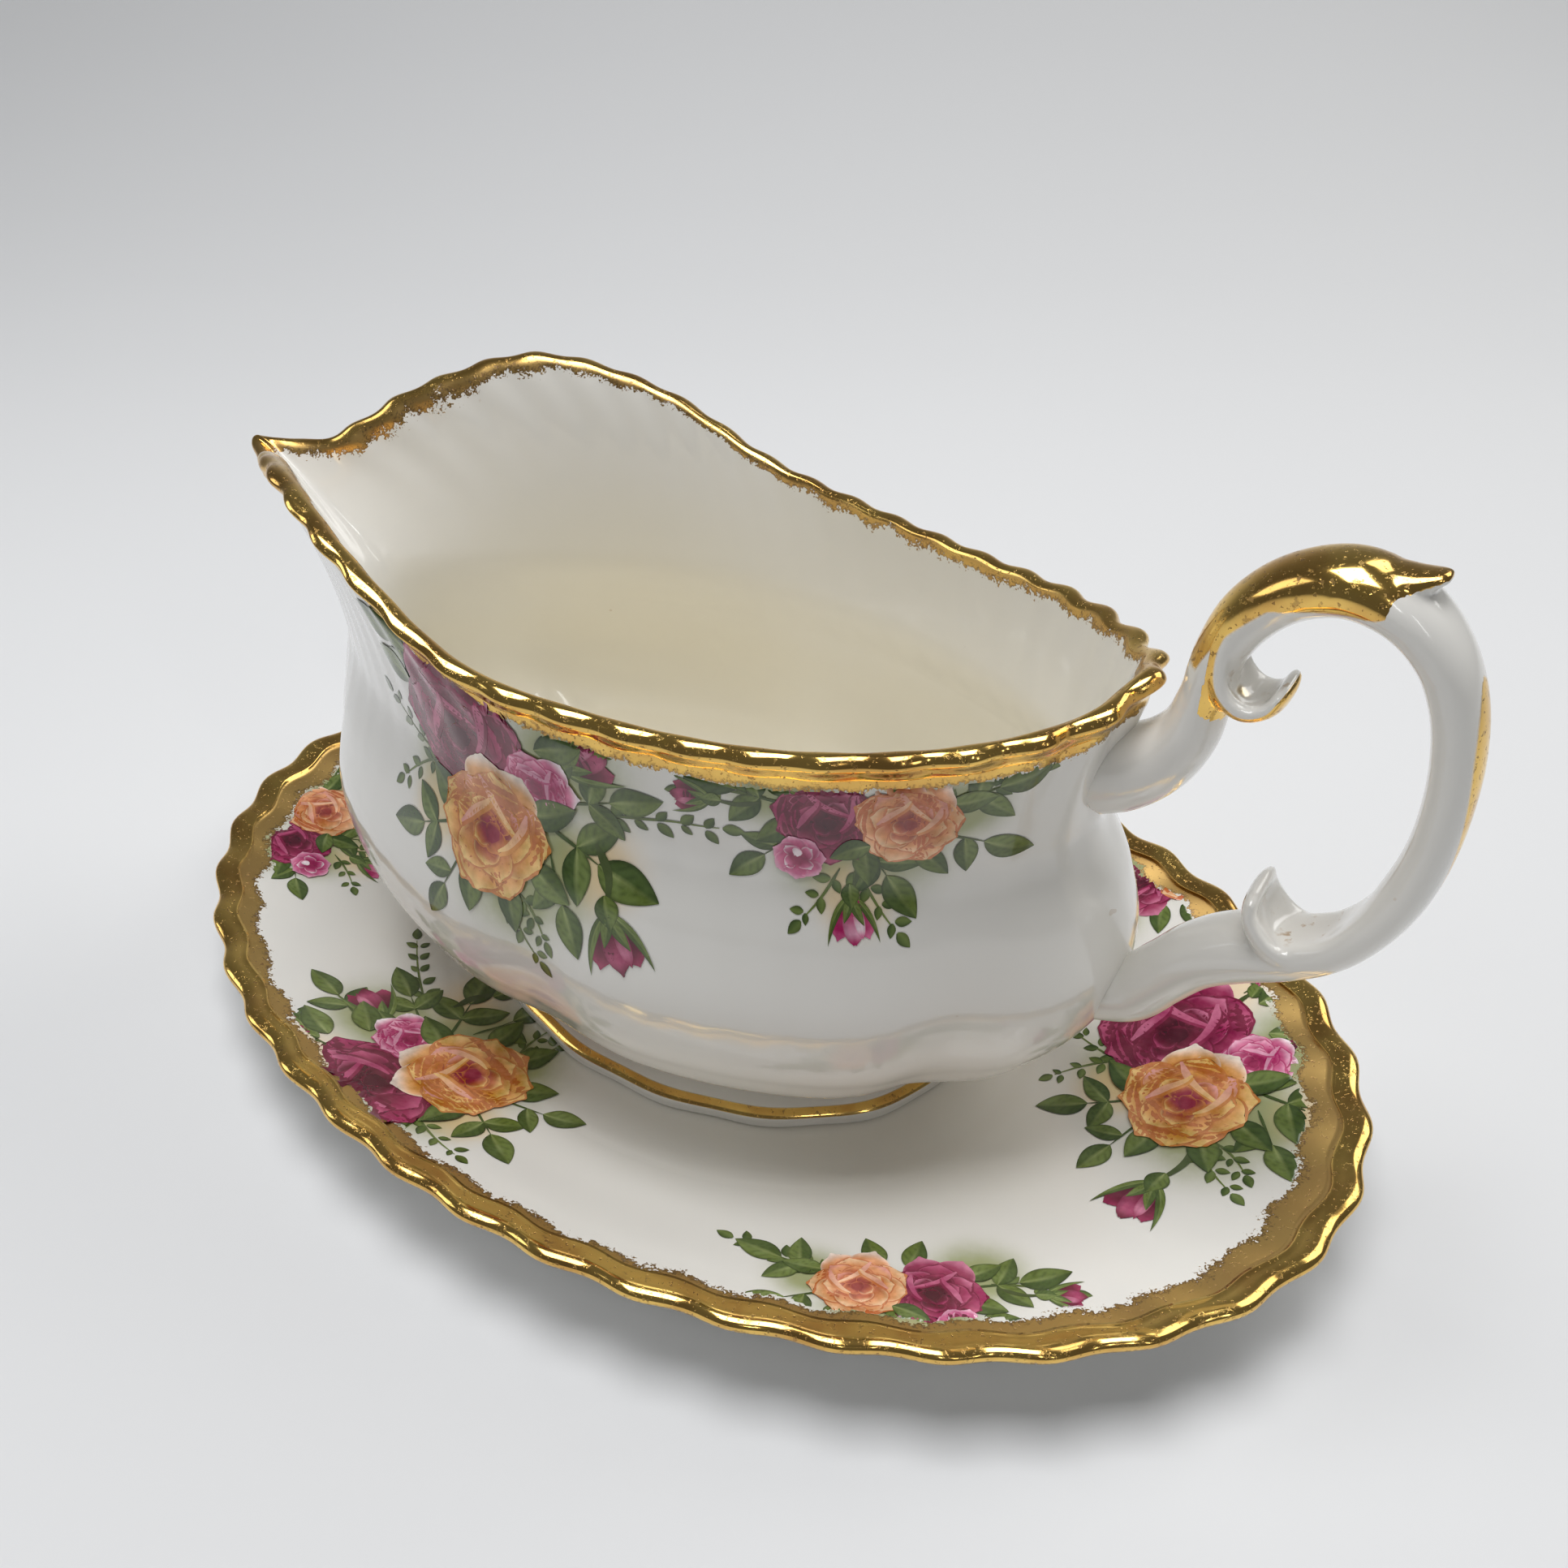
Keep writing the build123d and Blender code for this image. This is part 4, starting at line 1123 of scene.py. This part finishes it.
for side, word in ((-1, "near"), (1, "far")):
    gold_edge = BOWL_GOLD_UNDER - GOLD_GAP
    large_spray(11 - side).lay(f"spray_front_{word}", bowl, (-15, side * 41, 62), (-0.12, side, 0.12),
                               (0, 0, 1), gold_edge, "boat", 0, -side)
    small_spray(21 - side).lay(f"spray_back_{word}", bowl, (36, side * 31, 77), (0.52, side * 0.86, 0),
                               (0, 0, 1), gold_edge, "boat", 0, -side)

# Each row: place, kind of spray, x, y, turn, mirror, changes to the spray.
STAND_SPRAYS = [
    ("left_front", large_spray, -25, -48, 128, 1, {}),
    ("right_end", large_spray, 81, 12, 6, 1, {"hanging": (0, -20), "stalk": (4, -9)}),
    ("left_end", small_spray, -92, -24, 100, 1, {}), ("right_front", small_spray, 64, -45, -27, -1, {}),
    ("right_back", small_spray, 55, 54, 152, -1, {}), ("left_back", large_spray, -34, 50, 35, -1, {}),
]
for number, (word, recipe, x, y, turned, mirror, changes) in enumerate(STAND_SPRAYS):
    spray = recipe(31 + number, **changes)
    spray.lay(f"spray_stand_{word}", stand, (x, y, 10), (0, 0, 1), (0, 1, 0), STAND_GOLD + GOLD_GAP,
              "stand", turned, mirror)

for piece, painted_side in ((bowl, -1), (stand, 1)):
    paint_washes(piece, painted_side)


# ---- room, light and camera -----------------------------------------------------------------
def plain_material(name, colour, rough):
    s = Shader(name)
    tone = s.mix(s.noise(3.0, 2.0), colour, tuple(value * 0.97 for value in colour[:3]) + (1.0,))
    return s.finish(Base_Color=tone, Roughness=rough)


# The paper's floor in front and behind, the radius of its bend, its height and half width, in metres.
SWEEP_FRONT, SWEEP_FLAT, SWEEP_BEND = 1.6, 0.35, 0.9
SWEEP_HEIGHT, SWEEP_HALF_WIDTH = 2.2, 2.2


def make_backdrop():
    """Pale floor that sweeps up behind the boat."""
    floor = plain_material("paper_sweep", linear(236, 237, 238), 0.75)
    profile = [(-SWEEP_FRONT, 0.0), (SWEEP_FLAT, 0.0)]
    for angle in np.radians(np.linspace(0, 90, 19)[1:]):
        profile.append((SWEEP_FLAT + SWEEP_BEND * math.sin(angle), SWEEP_BEND * (1 - math.cos(angle))))
    profile.append((SWEEP_FLAT + SWEEP_BEND, SWEEP_HEIGHT))
    points = [(side * SWEEP_HALF_WIDTH, forward, up) for forward, up in profile for side in (-1, 1)]
    faces = [(2 * i, 2 * i + 1, 2 * i + 3, 2 * i + 2) for i in range(len(profile) - 1)]
    turned = Matrix.Rotation(math.radians(CAMERA_TURN), 3, "Z")
    points = [tuple(turned @ Vector(point) / MM) for point in points]
    sweep = mesh_object("paper_sweep", points, faces, floor)


def area_light(name, place, aim, size, watts, colour):
    lamp = bpy.data.lights.new(name, "AREA")
    lamp.shape = "RECTANGLE"
    lamp.size, lamp.size_y = size
    lamp.energy = watts
    lamp.color = colour
    holder = bpy.data.objects.new(name, lamp)
    holder.location = place
    holder.rotation_euler = (Vector(aim) - Vector(place)).to_track_quat("-Z", "Y").to_euler()
    bpy.context.scene.collection.objects.link(holder)


CAMERA_TURN = 32.8
CAMERA_LIFT = 35.84
CAMERA_DISTANCE = 0.27718
CAMERA_AIM = Vector((-0.00673, 0.02498, 0.03185))
CAMERA_LENS, CAMERA_SENSOR = 33.73, 36.0

turn, lift = math.radians(CAMERA_TURN), math.radians(CAMERA_LIFT)
ahead = Vector((-math.sin(turn), math.cos(turn), 0))
aside = Vector((math.cos(turn), math.sin(turn), 0))


def make_camera():
    to_camera = Vector((0, 0, math.sin(lift))) - ahead * math.cos(lift)
    lens = bpy.data.cameras.new("camera")
    lens.lens = CAMERA_LENS
    lens.sensor_width = CAMERA_SENSOR
    lens.clip_start = 0.01
    camera = bpy.data.objects.new("camera", lens)
    camera.location = CAMERA_AIM + to_camera * CAMERA_DISTANCE
    camera.rotation_euler = to_camera.to_track_quat("Z", "Y").to_euler()
    bpy.context.scene.collection.objects.link(camera)
    bpy.context.scene.camera = camera


def from_camera(right, up, forward):
    """A place in the room, measured in metres from the boat along the camera's own directions."""
    return aside * right + ahead * forward + Vector((0, 0, up))


make_camera()
make_backdrop()
# Each row: name; right, up and ahead in metres; width and height; watts; colour.
LIGHTS = [
    ("window_key", (0.62, 0.72, 0.34), (0.55, 0.55), 2.5, (1.0, 0.99, 0.97)),
    ("skylight", (-0.07, 0.9, 0.0), (0.48, 0.48), 5.3, (0.99, 0.99, 1.0)),
    ("window_left", (-0.8, 0.5, 0.1), (0.3, 0.45), 0.9, (0.96, 0.98, 1.0)),
    ("strip_front", (0.5, 0.75, -0.8), (0.05, 0.35), 0.35, (1, 1, 1)),
    ("strip_side", (0.15, 0.95, -0.75), (0.05, 0.25), 0.35, (1, 1, 1)),
]
for name, place, size, watts, colour in LIGHTS:
    area_light(name, from_camera(*place), (0, 0, 0.05), size, watts, colour)

world = bpy.data.worlds.new("soft_room")
world.use_nodes = True
world.node_tree.nodes["Background"].inputs["Color"].default_value = (0.80, 0.81, 0.82, 1)
world.node_tree.nodes["Background"].inputs["Strength"].default_value = 0.14
bpy.context.scene.world = world
bpy.context.scene.view_settings.view_transform = "Standard"
